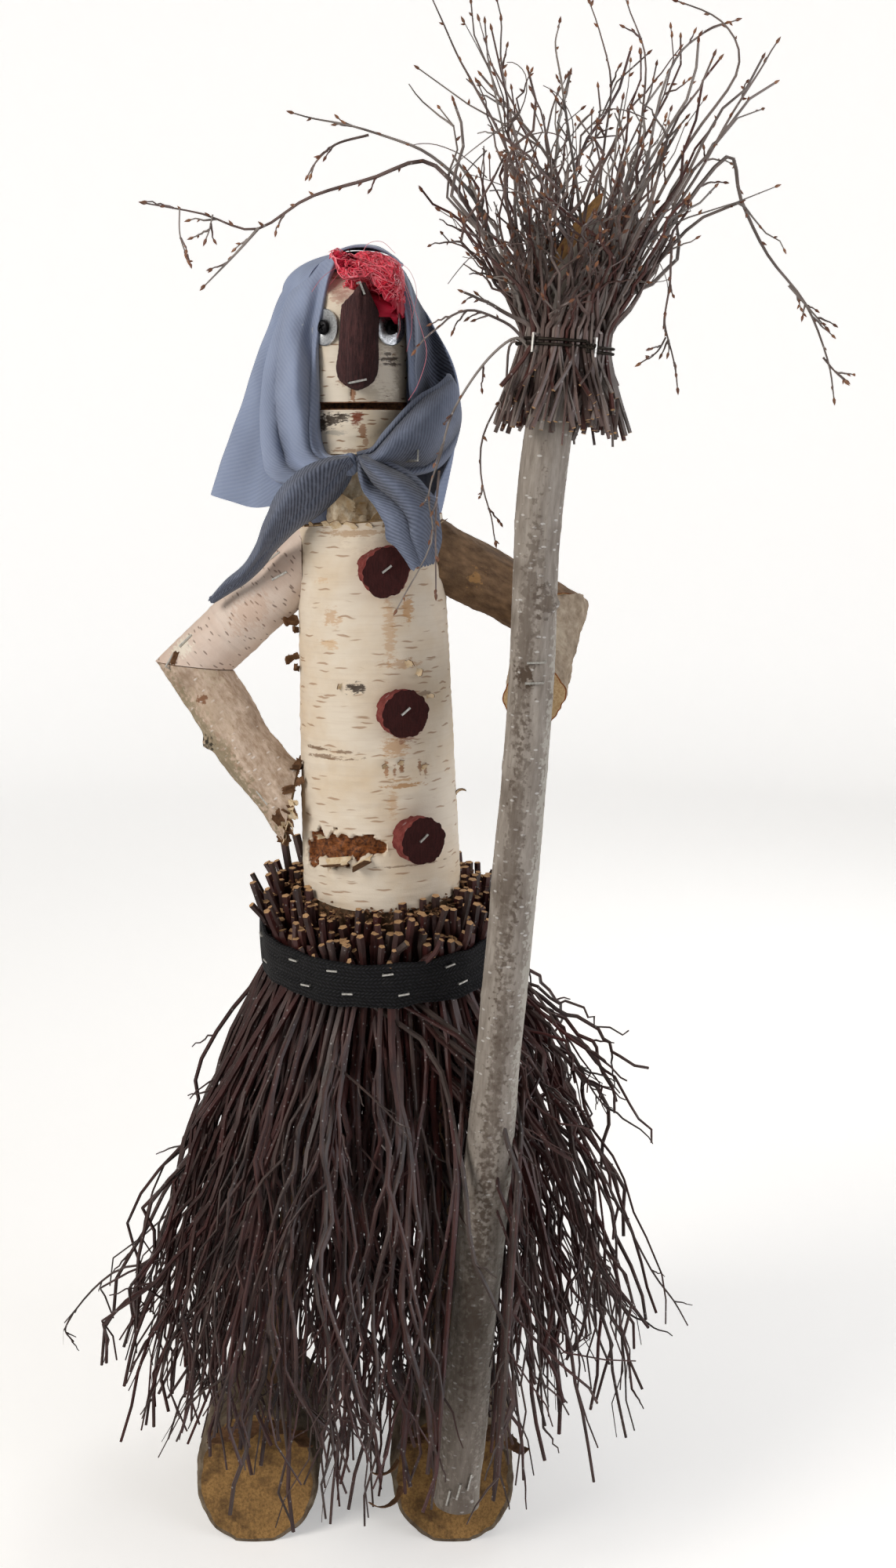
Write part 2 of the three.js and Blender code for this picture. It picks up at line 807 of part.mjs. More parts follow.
// Nose: a D-shaped split branch, pointed above and rounded below, hollowed to fit the head
const noseCentre = vec(headX + noseOffsetX, -headRadius, headBottom + noseChin);
const noseOutline = new THREE.Shape();
const noseHalf = noseWidth / 2;
noseOutline.moveTo(noseHalf, noseHalf);
noseOutline.lineTo(0.9 * noseHalf, noseLength - nosePeak);
noseOutline.lineTo(0.12 * noseHalf, noseLength);
noseOutline.lineTo(-0.85 * noseHalf, noseLength - 0.8 * nosePeak);
noseOutline.lineTo(-noseHalf, noseHalf);
noseOutline.absarc(0, noseHalf, noseHalf, Math.PI, 2 * Math.PI, false);
const noseBlock = new THREE.ExtrudeGeometry(noseOutline, {
  depth: 2 * noseProud + headRadius,
  bevelEnabled: false,
  curveSegments: 6,
});
noseBlock.rotateX(Math.PI / 2);
noseBlock.rotateY(rad(noseLean));
const noseRound = new THREE.CylinderGeometry(noseProud, noseProud, 2 * noseLength, limbSides);
noseRound.rotateX(Math.PI / 2);
noseRound.scale((noseHalf + 1) / noseProud, 1, 1);
noseRound.rotateY(rad(noseLean));
const noseMatrix = matrixAt(noseCentre);
const noseBlockMatrix = matrixAt(noseCentre.clone().add(vec(0, headRadius, 0)));
const noseSolid = solidFrom(noseBlock, noseBlockMatrix)
  .intersect(solidFrom(noseRound, noseMatrix))
  .subtract(headHull(seatGap))
  .subtract(eyeRoom);
const nose = addMesh("nose", geometryFrom(mainBody(noseSolid)), materials.darkBark);

// Buttons on the torso's front
const buttonRooms = buttonDrops.map((drop, i) => {
  const height = torsoLength - drop;
  const turn = rad(buttonTurns[i]);
  const outward = torsoOutward(turn);
  const seat = inTorso(0, 0, height).addScaledVector(outward, torsoRadiusAt(height) + seatGap);
  const button = addMesh(
    buttonNames[i],
    logGeometry(buttonThickness, buttonRadius, buttonRadius - 0.6, smallSides + 4, 0, 1),
    materials.redBark,
  );
  button.position.copy(seat);
  button.quaternion.copy(turnFromUp(outward));
  const face = seat.clone().addScaledVector(outward, buttonThickness);
  const slant = vec(0.8, 0, 0.6);
  const shape = { crown: stapleNarrowCrown, leg: stapleLongLeg };
  addStaple("staple_" + buttonNames[i], face, outward, slant, [button, torso], shape);
  const roomTop = face.clone().addScaledVector(outward, 2 * stapleWireThick);
  return rodSolid(seat, roomTop, buttonRadius + seatGap, smallSides + 4);
});

// Twig skirt: a slice of packed twigs at the belt, cut stubs above it and long twigs below
const skirtInner = (coreRadius + seatGap) / Math.cos(Math.PI / ringSides);
const skirtRingProfile = [
  new THREE.Vector2(skirtInner, skirtRingTop - skirtRingHeight),
  new THREE.Vector2(skirtRadius, skirtRingTop - skirtRingHeight),
  new THREE.Vector2(skirtRadius, skirtRingTop),
  new THREE.Vector2(skirtInner, skirtRingTop),
  new THREE.Vector2(skirtInner, skirtRingTop - skirtRingHeight),
];
const skirtRing = solidFrom(
  new THREE.LatheGeometry(skirtRingProfile, ringSides).rotateX(Math.PI / 2),
  waist.matrixWorld,
);

// The least distance from a point to a straight stretch
function distanceToStretch(point, from, to) {
  return new THREE.Line3(from, to).closestPointToPoint(point, true, vec(0, 0, 0)).distanceTo(point);
}

const legEnds = ["right", "left"].map((side) => {
  const leg = figure.getObjectByName("leg_" + side);
  const along = upAxis.clone().applyQuaternion(leg.quaternion);
  return [leg.position.clone(), leg.position.clone().addScaledVector(along, waistHeight)];
});
const shoeTop = shoeSole + shoeRadius;
function twigIsClear(points, twigRadius) {
  for (let i = 0; i + 1 < points.length; i++) {
    for (let step = 0; step <= 10; step++) {
      const point = points[i].clone().lerp(points[i + 1], step / 10);
      const room = twigRadius + twigClearance;
      const handleClear = distanceToStretch(point, handleFoot, handleHead) > handleBottomRadius + room;
      const legsClear = legEnds.every(([a, b]) => distanceToStretch(point, a, b) > legRadius + room);
      const overShoes = [rightShoeX, leftShoeX].some(
        (x) =>
          Math.abs(point.x - x) < shoeRadius + room &&
          point.y < shoeHeel + room &&
          point.y > -shoeToe - room &&
          point.z < shoeTop + room,
      );
      if (!handleClear || !legsClear || overShoes) return false;
    }
  }
  return true;
}

const skirtSpread = spreadFrom(4711);
const ringBottom = skirtRingTop - skirtRingHeight;
const layerStep = (skirtRadius - skirtInner) / skirtLayers.length;
const skirtTwigs = [];
skirtLayers.forEach((count, layer) => {
  const rootRadius = skirtRadius - layerStep * (layer + 0.5);
  const hemRadius = skirtHemRadius * skirtHemShares[layer];
  for (let i = 0; i < count; i++) {
    const turn = (2 * Math.PI * (i + 0.5 * (layer % 2))) / count;
    const turnTip = turn + (0.32 * Math.PI * skirtSpread()) / count;
    const reach = hemRadius + 0.05 * skirtHemRadius * skirtSpread();
    const hem = skirtHemHeight + skirtHemRagged * skirtSpread() * (layer === 0 ? 1 : 0.3);
    const root = inWaist(rootRadius * Math.cos(turn), rootRadius * Math.sin(turn), ringBottom + 2);
    const tip = vec(waistX + reach * Math.cos(turnTip), reach * Math.sin(turnTip), hem);
    const knee = root.clone().lerp(tip, 0.5);
    knee.add(vec(Math.cos(turn), Math.sin(turn), 0).multiplyScalar(0.07 * (reach - rootRadius)));
    const points = [root, knee, tip];
    if (!twigIsClear(points, skirtTwigRadius)) continue;
    skirtTwigs.push(taperedTube(points, [skirtTwigRadius, 0.85 * skirtTwigRadius, 0], 3));
  }
});
skirtStubs.forEach((count, layer) => {
  const rootRadius = skirtRadius - 4 - 14 * layer;
  for (let i = 0; i < count; i++) {
    const turn = (2 * Math.PI * (i + 0.25)) / count;
    const lean = 1.03 + 0.02 * skirtSpread();
    const rise = stubRise + (layer ? 1 : 6 * skirtSpread() - 5);
    const root = inWaist(rootRadius * Math.cos(turn), rootRadius * Math.sin(turn), skirtRingTop - 3);
    const top = inWaist(lean * rootRadius * Math.cos(turn), lean * rootRadius * Math.sin(turn), skirtRingTop + rise);
    skirtTwigs.push(taperedTube([root, top], [stubTwigRadius, stubTwigRadius], 3));
  }
});
const skirt = addMesh(
  "skirt_twigs",
  geometryFrom(wasm.Manifold.union([skirtRing, ...skirtTwigs.map((twig) => solidFrom(twig))])),
  materials.skirtTwig,
);

// Belt of woven webbing round the twigs
const beltInner = (skirtRadius + seatGap) / Math.cos(Math.PI / ringSides);
const beltTop = skirtRingTop + 1;
const beltProfile = [
  new THREE.Vector2(beltInner, beltTop - beltWidth),
  new THREE.Vector2(beltInner + beltThickness, beltTop - beltWidth),
  new THREE.Vector2(beltInner + beltThickness, beltTop),
  new THREE.Vector2(beltInner, beltTop),
  new THREE.Vector2(beltInner, beltTop - beltWidth),
];
const belt = addMesh(
  "belt",
  new THREE.LatheGeometry(beltProfile, ringSides).rotateX(Math.PI / 2),
  materials.webbing,
  waist,
);
beltStapleTurns.forEach((degrees, i) => {
  for (const [row, height] of [
    ["upper", 0.78],
    ["lower", 0.3],
  ]) {
    const turn = rad(degrees + (row === "upper" ? 0 : 7));
    const outward = vec(Math.sin(turn), -Math.cos(turn), 0).transformDirection(waist.matrixWorld);
    const centre = inWaist(0, 0, beltTop - beltWidth + beltWidth * height);
    const face = centre.addScaledVector(outward, beltInner + beltThickness);
    const along = vec(Math.cos(turn), Math.sin(turn), 0.1).transformDirection(waist.matrixWorld);
    addStaple("staple_belt_" + row + "_" + (i + 1), face, outward, along, [belt, skirt], {
      crown: stapleNarrowCrown,
    });
  }
});

// Broom twigs: a slice of packed twigs at the wire, cut butts below it and spreading twigs above
const broomCentre = onHandle(broomWireHeight);
const broomTurn = turnFromUp(handleAxis);
const broomMatrix = matrixAt(broomCentre, broomTurn);
const inBroom = (x, y, z) => vec(x, y, z).applyMatrix4(broomMatrix);
const broomInner = handleRadiusAt(broomWireHeight) + seatGap + 0.2;
const broomRingProfile = [
  new THREE.Vector2(broomInner, -broomRingHeight / 2),
  new THREE.Vector2(broomRingRadius, -broomRingHeight / 2),
  new THREE.Vector2(broomRingRadius, broomRingHeight / 2),
  new THREE.Vector2(broomInner, broomRingHeight / 2),
  new THREE.Vector2(broomInner, -broomRingHeight / 2),
];
const broomRing = solidFrom(
  new THREE.LatheGeometry(broomRingProfile, limbSides).rotateX(Math.PI / 2),
  broomMatrix,
);
const broomRandom = spreadFrom(90210);
const broomTwigs = [];
const broomStep = (broomRingRadius - broomInner) / broomLayers.length;
const broomTipShares = [1, 0.66, 0.36];
broomLayers.forEach((count, layer) => {
  const rootRadius = broomRingRadius - broomStep * (layer + 0.5);
  for (let i = 0; i < count; i++) {
    const turn = (2 * Math.PI * (i + 0.5 * (layer % 2))) / count;
    const turnTip = turn + (0.34 * Math.PI * broomRandom()) / count;
    const reach = broomSpread * broomTipShares[layer] * (1 + 0.1 * broomRandom());
    const length = broomLength * (0.88 + 0.1 * broomRandom());
    const root = inBroom(rootRadius * Math.cos(turn), rootRadius * Math.sin(turn), broomRingHeight / 2 - 2);
    const bend = rootRadius + 0.36 * (reach - rootRadius);
    const knee = inBroom(bend * Math.cos(turn), bend * Math.sin(turn), 0.5 * length);
    const tip = inBroom(reach * Math.cos(turnTip), reach * Math.sin(turnTip), length);
    broomTwigs.push(taperedTube([root, knee, tip], [broomTwigRadius, 0.7 * broomTwigRadius, 0], 3));
  }
});
buttLayers.forEach((count, layer) => {
  const rootRadius = broomRingRadius - 2.6 - 6 * layer;
  const reach = buttSpread - 10 * layer;
  for (let i = 0; i < count; i++) {
    const turn = (2 * Math.PI * (i + 0.3)) / count;
    const length = buttLength + 3 * broomRandom();
    const root = inBroom(rootRadius * Math.cos(turn), rootRadius * Math.sin(turn), 2 - broomRingHeight / 2);
    const end = inBroom(reach * Math.cos(turn), reach * Math.sin(turn), -length);
    broomTwigs.push(taperedTube([root, end], [buttRadius, buttRadius], 3));
  }
});

// Long stray twigs that hang out of the broom, each along its own curve from the wire's centre
const strayRoutes = [
  [[0.9, 84], [-85, 0, 89], [-137, -2, 127], [-175, -1, 136]],
  [[0.97, 40], [-83, -7, 81], [-163, -7, 79], [-241, -5, 76]],
  [[1, 6], [-63, -13, -41], [-79, -13, -85], [-97, -5, -139]],
  [[0.2, 60], [83, 3, 113], [115, 7, 43], [149, 9, -27]],
];
const strayRadius = 2.1;
const strayInset = 2.5;
const strayStart = 2;
const strayOut = 6;
const strayRise = 16;
const strayRootRadius = broomRingRadius - strayInset;
for (const [[turnShare, rise], ...route] of strayRoutes) {
  const turn = Math.PI * turnShare;
  const across = strayRootRadius * Math.cos(turn);
  const forward = -strayRootRadius * Math.sin(turn);
  const start = inBroom(across, forward, strayStart);
  const out = inBroom(1.3 * across, 1.5 * forward - strayOut, strayRise + 0.1 * rise);
  const points = [start, out, ...route.map((offset) => broomCentre.clone().add(vec(...offset)))];
  const radii = points.map((point, i) => strayRadius * (1 - (0.8 * i) / points.length));
  broomTwigs.push(taperedTube(points, [...radii.slice(0, -1), 0], 3));
}
const broom = addMesh(
  "broom_twigs",
  geometryFrom(wasm.Manifold.union([broomRing, ...broomTwigs.map((twig) => solidFrom(twig))])),
  materials.broomTwig,
);

// Binding wire: an open winding whose straight ends leave sideways
const wireCoil = broomRingRadius + seatGap + wireRadius;
const wirePoints = [];
for (let i = 0; i <= wireTurns * wireSteps; i++) {
  const turn = (2 * Math.PI * i) / wireSteps;
  const height = wirePitch * (i / wireSteps - wireTurns / 2);
  wirePoints.push(inBroom(wireCoil * Math.cos(turn), wireCoil * Math.sin(turn), height));
}
const wireStart = wirePoints[0].clone().sub(wirePoints[1]).normalize();
const wireEnd = wirePoints[wirePoints.length - 1].clone().sub(wirePoints[wirePoints.length - 2]).normalize();
wirePoints.unshift(wirePoints[0].clone().addScaledVector(wireStart, wireTail));
wirePoints.push(wirePoints[wirePoints.length - 1].clone().addScaledVector(wireEnd, wireTail));
let wireLeast = Infinity;
wirePoints.forEach((point, i) => {
  for (let k = i + wireSteps / 2; k < wirePoints.length; k++) {
    wireLeast = Math.min(wireLeast, point.distanceTo(wirePoints[k]) - 2 * wireRadius);
  }
});
console.log("binding wire: least gap to itself " + wireLeast.toFixed(2) + " mm");
addMesh(
  "broom_wire",
  taperedTube(wirePoints, wirePoints.map(() => wireRadius), wireSides),
  materials.blackSteel,
);
[-0.7, 0.55].forEach((turn, i) => {
  const outward = inBroom(Math.sin(turn), -Math.cos(turn), 0).sub(broomCentre).normalize();
  const face = broomCentre.clone().addScaledVector(outward, broomRingRadius);
  addStaple("staple_wire_" + (i + 1), face, outward, handleAxis, [broom], {
    crown: 2 * wireRadius + wirePitch * wireTurns + 2 * stapleWire + 3 * seatGap,
    lift: 2 * wireRadius + 2 * seatGap + 0.3,
    leg: 5,
  });
});

// Headscarf: hood, bands under the chin, knot and two tails, in one cloth
function hoodValue(values, turn) {
  const last = hoodTurns.length - 1;
  const clamped = Math.min(hoodTurns[last], Math.max(hoodTurns[0], turn));
  const k = Math.min(last - 1, hoodTurns.findLastIndex((mark) => mark <= clamped));
  const share = (clamped - hoodTurns[k]) / (hoodTurns[k + 1] - hoodTurns[k]);
  return THREE.MathUtils.lerp(values[k], values[k + 1], THREE.MathUtils.smoothstep(share, 0, 1));
}
const domeShare = 0.24;
const scarfCrown = headTop + scarfCrownRise;
const scarfTemple = headTop - scarfTempleDrop;
const scarfPole = vec(headX + scarfPoleOffset[0], scarfPoleOffset[1], 0);
function hoodPoint(turn, share) {
  const temple = hoodValue(hoodTempleRadii, turn);
  const hemRadius = hoodValue(hoodHemRadii, turn);
  const drop = hoodValue(hoodDrops, turn);
  const angle = rad(turn);
  let radius;
  let height;
  if (share <= domeShare) {
    const rise = (share / domeShare) * (Math.PI / 2);
    radius = temple * Math.sin(rise);
    height = scarfTemple + (scarfCrown - scarfTemple) * Math.cos(rise);
  } else {
    const down = (share - domeShare) / (1 - domeShare);
    const bulge = hoodRightBulge * Math.max(0, Math.sin(angle)) * Math.sin(Math.PI * down);
    const fold = hoodFoldDepth * down * Math.sin(hoodFoldCount * angle);
    radius = temple + (hemRadius - temple) * down ** 0.9 + bulge + fold;
    height = scarfTemple - drop * down;
  }
  return vec(scarfPole.x + radius * Math.sin(angle), scarfPole.y + radius * Math.cos(angle), height);
}
function hoodSheet(thickness, lift) {
  const rows = [];
  for (let i = 0; i <= hoodRows; i++) {
    const row = [];
    for (let j = 0; j <= hoodColumns; j++) {
      const turn = THREE.MathUtils.lerp(hoodTurns[0], hoodTurns[hoodTurns.length - 1], j / hoodColumns);
      row.push(hoodPoint(turn, i / hoodRows));
    }
    rows.push(row);
  }
  return solidFrom(sheetGeometry(rows, gridNormals(rows), thickness, lift));
}

// A band of cloth between two edges that are given as points
function bandSheet(edgeA, edgeB, columns, rowCount, bulge) {
  const curveA = new THREE.CatmullRomCurve3(edgeA);
  const curveB = new THREE.CatmullRomCurve3(edgeB);
  const rows = [];
  for (let i = 0; i <= rowCount; i++) {
    const a = curveA.getPoint(i / rowCount);
    const b = curveB.getPoint(i / rowCount);
    const row = [];
    for (let j = 0; j <= columns; j++) {
      const point = a.clone().lerp(b, j / columns);
      point.y -= bulge * Math.sin((Math.PI * j) / columns) * Math.sin((Math.PI * i) / rowCount);
      row.push(point);
    }
    rows.push(row);
  }
  return solidFrom(sheetGeometry(rows, gridNormals(rows), clothThickness, -clothThickness / 2));
}
const atChin = (x, y, z) => vec(headX + x, -headRadius + y, headBottom + z);
const knot = atChin(...knotOffset);
const knotUpper = knot.clone().add(vec(0, 0, 4));
const knotLower = knot.clone().add(vec(0, 0, -5));
const leftBand = bandSheet(
  [hoodPoint(-119, 0.68), atChin(-20, -4.5, 17), knotUpper],
  [hoodPoint(-96, 0.97), atChin(-37, -4.5, -20), knotLower],
  4,
  6,
  3,
);
const rightBand = bandSheet(
  [knotUpper, atChin(23, -12.5, 13), hoodPoint(106, 0.6)],
  [knotLower, atChin(27, -20.5, -12), hoodPoint(92, 0.97)],
  4,
  6,
  3,
);
const leftTail = bandSheet(
  [knotUpper, atChin(-35, -16.5, -12), atChin(-61, -8.5, -38), atChin(-70, 3.5, -60), atChin(-96, 10.5, -89)],
  [knotLower, atChin(-21, -23.5, -30), atChin(-41, -17.5, -50), atChin(-57, -2.5, -65), atChin(-94, 9.5, -93)],
  4,
  8,
  4,
);
const rightTail = bandSheet(
  [knotLower, atChin(11, -26.5, -24), atChin(23, -26.5, -41), atChin(33, -19.5, -75)],
  [knotUpper, atChin(35, -20.5, -6), atChin(49, -10.5, -28), atChin(51, -2.5, -58)],
  4,
  7,
  3,
);
const knotBall = solidFrom(
  new THREE.SphereGeometry(knotRadius, 8, 5).scale(0.85, 0.55, 0.95),
  matrixAt(knot),
);
const torsoHull = solidFrom(
  new THREE.LatheGeometry(
    [
      new THREE.Vector2(0, -torsoOverrun),
      new THREE.Vector2(torsoRadiusAt(-torsoOverrun) + seatGap, -torsoOverrun),
      new THREE.Vector2(torsoRadiusAt(torsoLength) + seatGap, torsoLength + 3),
      new THREE.Vector2(0, torsoLength + 3),
    ],
    logSides,
  ).rotateX(Math.PI / 2),
  torsoFrame.matrixWorld,
);
const scarfSolid = wasm.Manifold.union([hoodSheet(clothThickness, 0), leftBand, rightBand, leftTail, rightTail, knotBall])
  .subtract(headHull(seatGap))
  .subtract(torsoHull)
  .subtract(eyeRoom)
  .subtract(buttonRooms[0]);
const scarf = addMesh("headscarf", geometryFrom(mainBody(scarfSolid)), materials.cloth);

// Hair: a mat of sisal under the scarf's edge
const scarfRooms = [
  [2 * seatGap, 0, 0],
  [-2 * seatGap, 0, 0],
  [0, 2 * seatGap, 0],
  [0, -2 * seatGap, 0],
  [0, 0, -2 * seatGap],
].map((offset) => scarfSolid.translate(offset));
const hairSolid = solidFrom(
  new THREE.SphereGeometry(1, 14, 10).scale(...hairSize),
  matrixAt(vec(headX + hairOffset[0], hairOffset[1], headTop + hairOffset[2])),
)
  .subtract(beyondPlane(vec(0, hairBack, 0), vec(0, 1, 0)))
  .subtract(beyondPlane(vec(0, 0, eyeHeight + headBottom + hairAboveEye), vec(0, 0, -1)))
  .subtract(solidFrom(head.geometry, head.matrixWorld.clone().multiply(new THREE.Matrix4().makeScale(1.012, 1.012, 1.004))))
  .subtract(hoodSheet(clothThickness + 7, -2))
  .subtract(wasm.Manifold.union(scarfRooms))
  .subtract(solidOf(nose))
  .subtract(eyeRoom);
addMesh("hair", geometryFrom(mainBody(hairSolid)), materials.sisal);

// Loose staples that hold the pieces together, pressed in from the front
function stapleFromFront(name, x, z, along, hosts, shape) {
  const ray = new THREE.Raycaster(vec(x, -waistHeight, z), vec(0, 1, 0));
  figure.updateMatrixWorld(true);
  const [hit] = ray.intersectObject(hosts[0]);
  const normal = hit.face.normal.clone().transformDirection(hosts[0].matrixWorld);
  addStaple(name, hit.point, normal, along, hosts, shape);
}
const faceLeg = { leg: faceStapleLeg };
const noseX = headX + noseOffsetX;
stapleFromFront("staple_nose_upper", noseX + 5, headBottom + 97, vec(0.4, 0, -1), [nose, head], { crown: 8 });
stapleFromFront("staple_nose_lower", noseX + 2, headBottom + 43, vec(1, 0, 0.2), [nose, head], faceLeg);
[
  ["upper", 24],
  ["lower", 12],
].forEach(([row, rise]) => {
  const point = onHandle(leftHandHeight + rise);
  stapleFromFront("staple_hand_" + row, point.x, point.z, vec(1, 0, 0.05), [handle]);
});
[
  ["1", -6, 11],
  ["2", 0, 16],
  ["3", 6, 22],
].forEach(([number, aside, rise]) => {
  const point = onHandle(handleBottomHeight + rise);
  stapleFromFront("staple_foot_" + number, point.x + aside, point.z, vec(0.26, 0, 1), [handle]);
});
const shoulder = rightArm.shoulder;
stapleFromFront("staple_shoulder_upper", shoulder.x - 14, shoulder.z + 6, vec(1, 0, 0.5), [rightArm.upper]);
stapleFromFront("staple_shoulder_lower", shoulder.x - 10, shoulder.z - 5, vec(1, 0, 0.5), [rightArm.upper]);
const elbowAt = rightArm.elbow;
stapleFromFront("staple_elbow_upper", elbowAt.x - 3, elbowAt.z + 17, vec(1, 0, 0.8), [rightArm.upper]);
stapleFromFront("staple_elbow_lower", elbowAt.x - 13, elbowAt.z + 5, vec(0.3, 0, 1), [rightArm.upper, rightArm.fore]);
stapleFromFront("staple_wrist", rightHandPoint.x - 17, rightHandPoint.z + 7, vec(1, 0, -1), [rightArm.fore]);
const [hoodHere, hoodBelow, hoodBeside] = [hoodPoint(-117, 0.44), hoodPoint(-117, 0.46), hoodPoint(-115, 0.44)];
const hoodDown = hoodBelow.sub(hoodHere).normalize();
const hoodOut = hoodDown.clone().cross(hoodBeside.sub(hoodHere)).normalize();
addStaple("staple_scarf_right", hoodHere.addScaledVector(hoodOut, clothThickness), hoodOut, hoodDown, [scarf]);
stapleFromFront("staple_scarf_left", headX + 36, headBottom + 1, vec(0.6, 0, 1), [scarf]);

// The frame's origin is under the middle of the whole figure
const extent = new THREE.Box3().setFromObject(figure);
figure.position.set(-(extent.min.x + extent.max.x) / 2, -(extent.min.y + extent.max.y) / 2, 0);

export default figure;
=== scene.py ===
"""Dresses the packed witch figure: birch logs, twig skirt and broom, twill headscarf, sisal hair."""
import random
from functools import partial
from math import cos, pi, radians, sin

import bpy
import numpy as np
from bpy.props import FloatProperty, FloatVectorProperty, IntProperty, PointerProperty
from mathutils import Matrix, Vector
from mathutils.bvhtree import BVHTree


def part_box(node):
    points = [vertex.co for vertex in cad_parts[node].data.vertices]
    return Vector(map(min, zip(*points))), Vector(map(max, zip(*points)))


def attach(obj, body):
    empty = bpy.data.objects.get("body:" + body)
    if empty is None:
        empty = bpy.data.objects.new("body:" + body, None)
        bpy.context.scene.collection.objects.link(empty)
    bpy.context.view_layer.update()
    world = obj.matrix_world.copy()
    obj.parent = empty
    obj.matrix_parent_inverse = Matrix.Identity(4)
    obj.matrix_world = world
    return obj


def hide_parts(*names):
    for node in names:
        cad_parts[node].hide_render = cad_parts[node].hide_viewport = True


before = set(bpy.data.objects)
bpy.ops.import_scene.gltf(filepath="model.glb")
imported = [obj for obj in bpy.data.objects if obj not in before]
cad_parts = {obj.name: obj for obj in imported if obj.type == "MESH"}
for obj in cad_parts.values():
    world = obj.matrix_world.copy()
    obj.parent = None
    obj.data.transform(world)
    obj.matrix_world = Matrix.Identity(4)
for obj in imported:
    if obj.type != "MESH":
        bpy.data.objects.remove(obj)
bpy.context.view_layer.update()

bl_info = {
    "name": "Wooden witch garden figure",
    "version": (1, 0, 0),
    "blender": (4, 5, 0),
    "location": "3D View > Sidebar > Figure",
    "description": "Builds the bark, twigs, cloth and hair of a wooden witch figure round its frame",
    "category": "Add Mesh",
}

# Sizes are millimetres in the figure's own layout: x to its left hand, -y to the front, z up.
MM = 0.001
HEAD_X = -9.0
HEAD_LOW, HEAD_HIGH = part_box("head_log")
ORIGIN = Vector(((HEAD_LOW.x + HEAD_HIGH.x) / 2 - HEAD_X * MM, (HEAD_LOW.y + HEAD_HIGH.y) / 2, 0.0))
HEAD_BOTTOM = HEAD_LOW.z / MM
HEAD_TOP = HEAD_HIGH.z / MM
HEAD_RADIUS = 29.5

WAIST = Vector((3.0, 0.0, 421.0))
WAIST_TILT = radians(10)
TORSO_LEAN = radians(1.5)
TORSO_TOP_SLOPE = radians(5.1)
TORSO_LENGTH = 234.0
TORSO_RADII = (51.5, 46.0)
TORSO_AXIS = Vector((-sin(TORSO_LEAN), 0.0, cos(TORSO_LEAN)))
TORSO_TOP = WAIST + TORSO_AXIS * TORSO_LENGTH
WAIST_NORMAL = Vector((0.0, -sin(WAIST_TILT), cos(WAIST_TILT)))
SEAT_GAP = 0.3

RIGHT_SHOULDER = Vector((-49.3, 0.0, 625.7))
RIGHT_ELBOW = Vector((-117.3, 5.0, 561.7))
RIGHT_HAND = Vector((-55.1, -9.0, 473.5))
LEFT_SHOULDER = Vector((44.4, 0.0, 630.2))
LEFT_ELBOW = Vector((114.9, 16.0, 593.2))
LEFT_HAND = Vector((97.5, -81.9, 553.0))
HAND_CUT_LEAN = radians(12)

HANDLE_FOOT = Vector((51.5, -88.1, 30.0))
HANDLE_HEAD = Vector((119.5, -100.4, 838.0))
HANDLE_RADII = (15.0, 13.3)
HANDLE_AXIS = (HANDLE_HEAD - HANDLE_FOOT).normalized()
WIRE_HEIGHT = 757.0

SHOE_RADIUS = 40.0
SHOE_SOLE = 36.0
SHOE_HEEL = 34.0
SHOE_TOE = 84.0
TOE_LEAN = radians(20)
SHOES_X = {"right": -79.0, "left": 49.0}


def at(x, y, z):
    """A point of the figure's layout, in the frame's metres."""
    return ORIGIN + Vector((x, y, z)) * MM


def linear(colour):
    """An sRGB hex colour as the linear red, green, blue and alpha that shaders take."""
    parts = [int(colour[i : i + 2], 16) / 255 for i in (0, 2, 4)]
    parts = [p / 12.92 if p <= 0.04045 else ((p + 0.055) / 1.055) ** 2.4 for p in parts]
    return (*parts, 1.0)


def mixed(a, b, share):
    """A linear colour between two linear colours."""
    return tuple(x + (y - x) * share for x, y in zip(a, b))


# Materials
WHITE = (1.0, 1.0, 1.0, 1.0)
# A wave texture with this scale repeats once in a unit of its vector.
ONE_WAVE = 0.314


def colours(words):
    """Linear colours for words, each an sRGB hex colour or the name of a colour setting."""
    own = settings()
    return [(*getattr(own, word), 1.0) if hasattr(own, word) else linear(word) for word in words.split()]


def add_node(tree, kind, *inputs, out=0, **named):
    """Adds a node, sets or links inputs by order or capitalised name, and settings by other names."""
    made = tree.nodes.new("ShaderNode" + kind)
    values = dict(enumerate(inputs))
    for key, value in named.items():
        if key.islower():
            setattr(made, key, value)
        else:
            values[key] = value
    for key, value in values.items():
        if isinstance(value, bpy.types.NodeSocket):
            tree.links.new(value, made.inputs[key])
        else:
            made.inputs[key].default_value = value
    return made.outputs[out]


def shader_of(finish):
    """The shader of a material."""
    return next(n for n in finish.node_tree.nodes if n.type == "BSDF_PRINCIPLED")


def new_finish(name, roughness, **sockets):
    """A material with the shader's values that are the same all over, and what adds its nodes."""
    finish = bpy.data.materials.new(name)
    finish.use_nodes = True
    for key, value in {"Roughness": roughness, **sockets}.items():
        shader_of(finish).inputs[key.replace("_", " ")].default_value = value
    return finish, partial(add_node, finish.node_tree)


def link(finish, **sockets):
    """Links sockets to the inputs of the material's shader."""
    for key, socket in sockets.items():
        finish.node_tree.links.new(socket, shader_of(finish).inputs[key.replace("_", " ")])


def shaded(finish, base, relief, strength, size):
    """Links the material's colour and its relief of size millimetres."""
    bump = add_node(finish.node_tree, "Bump", Strength=strength, Distance=size * MM, Height=relief)
    link(finish, Base_Color=base, Normal=bump)


def millimetres(add, stretch=(1, 1, 1)):
    """The object's own coordinates in millimetres, divided by a stretch along each axis."""
    place = add("TexCoord", out="Object")
    return add("VectorMath", place, tuple(1 / (MM * s) for s in stretch), operation="MULTIPLY")


def over(add, base, colour, pattern, low, high, most=1.0):
    """The colour with another over it where a pattern passes from low to high."""
    return add("MixRGB", add("MapRange", pattern, low, high, 0.0, most), base, colour)


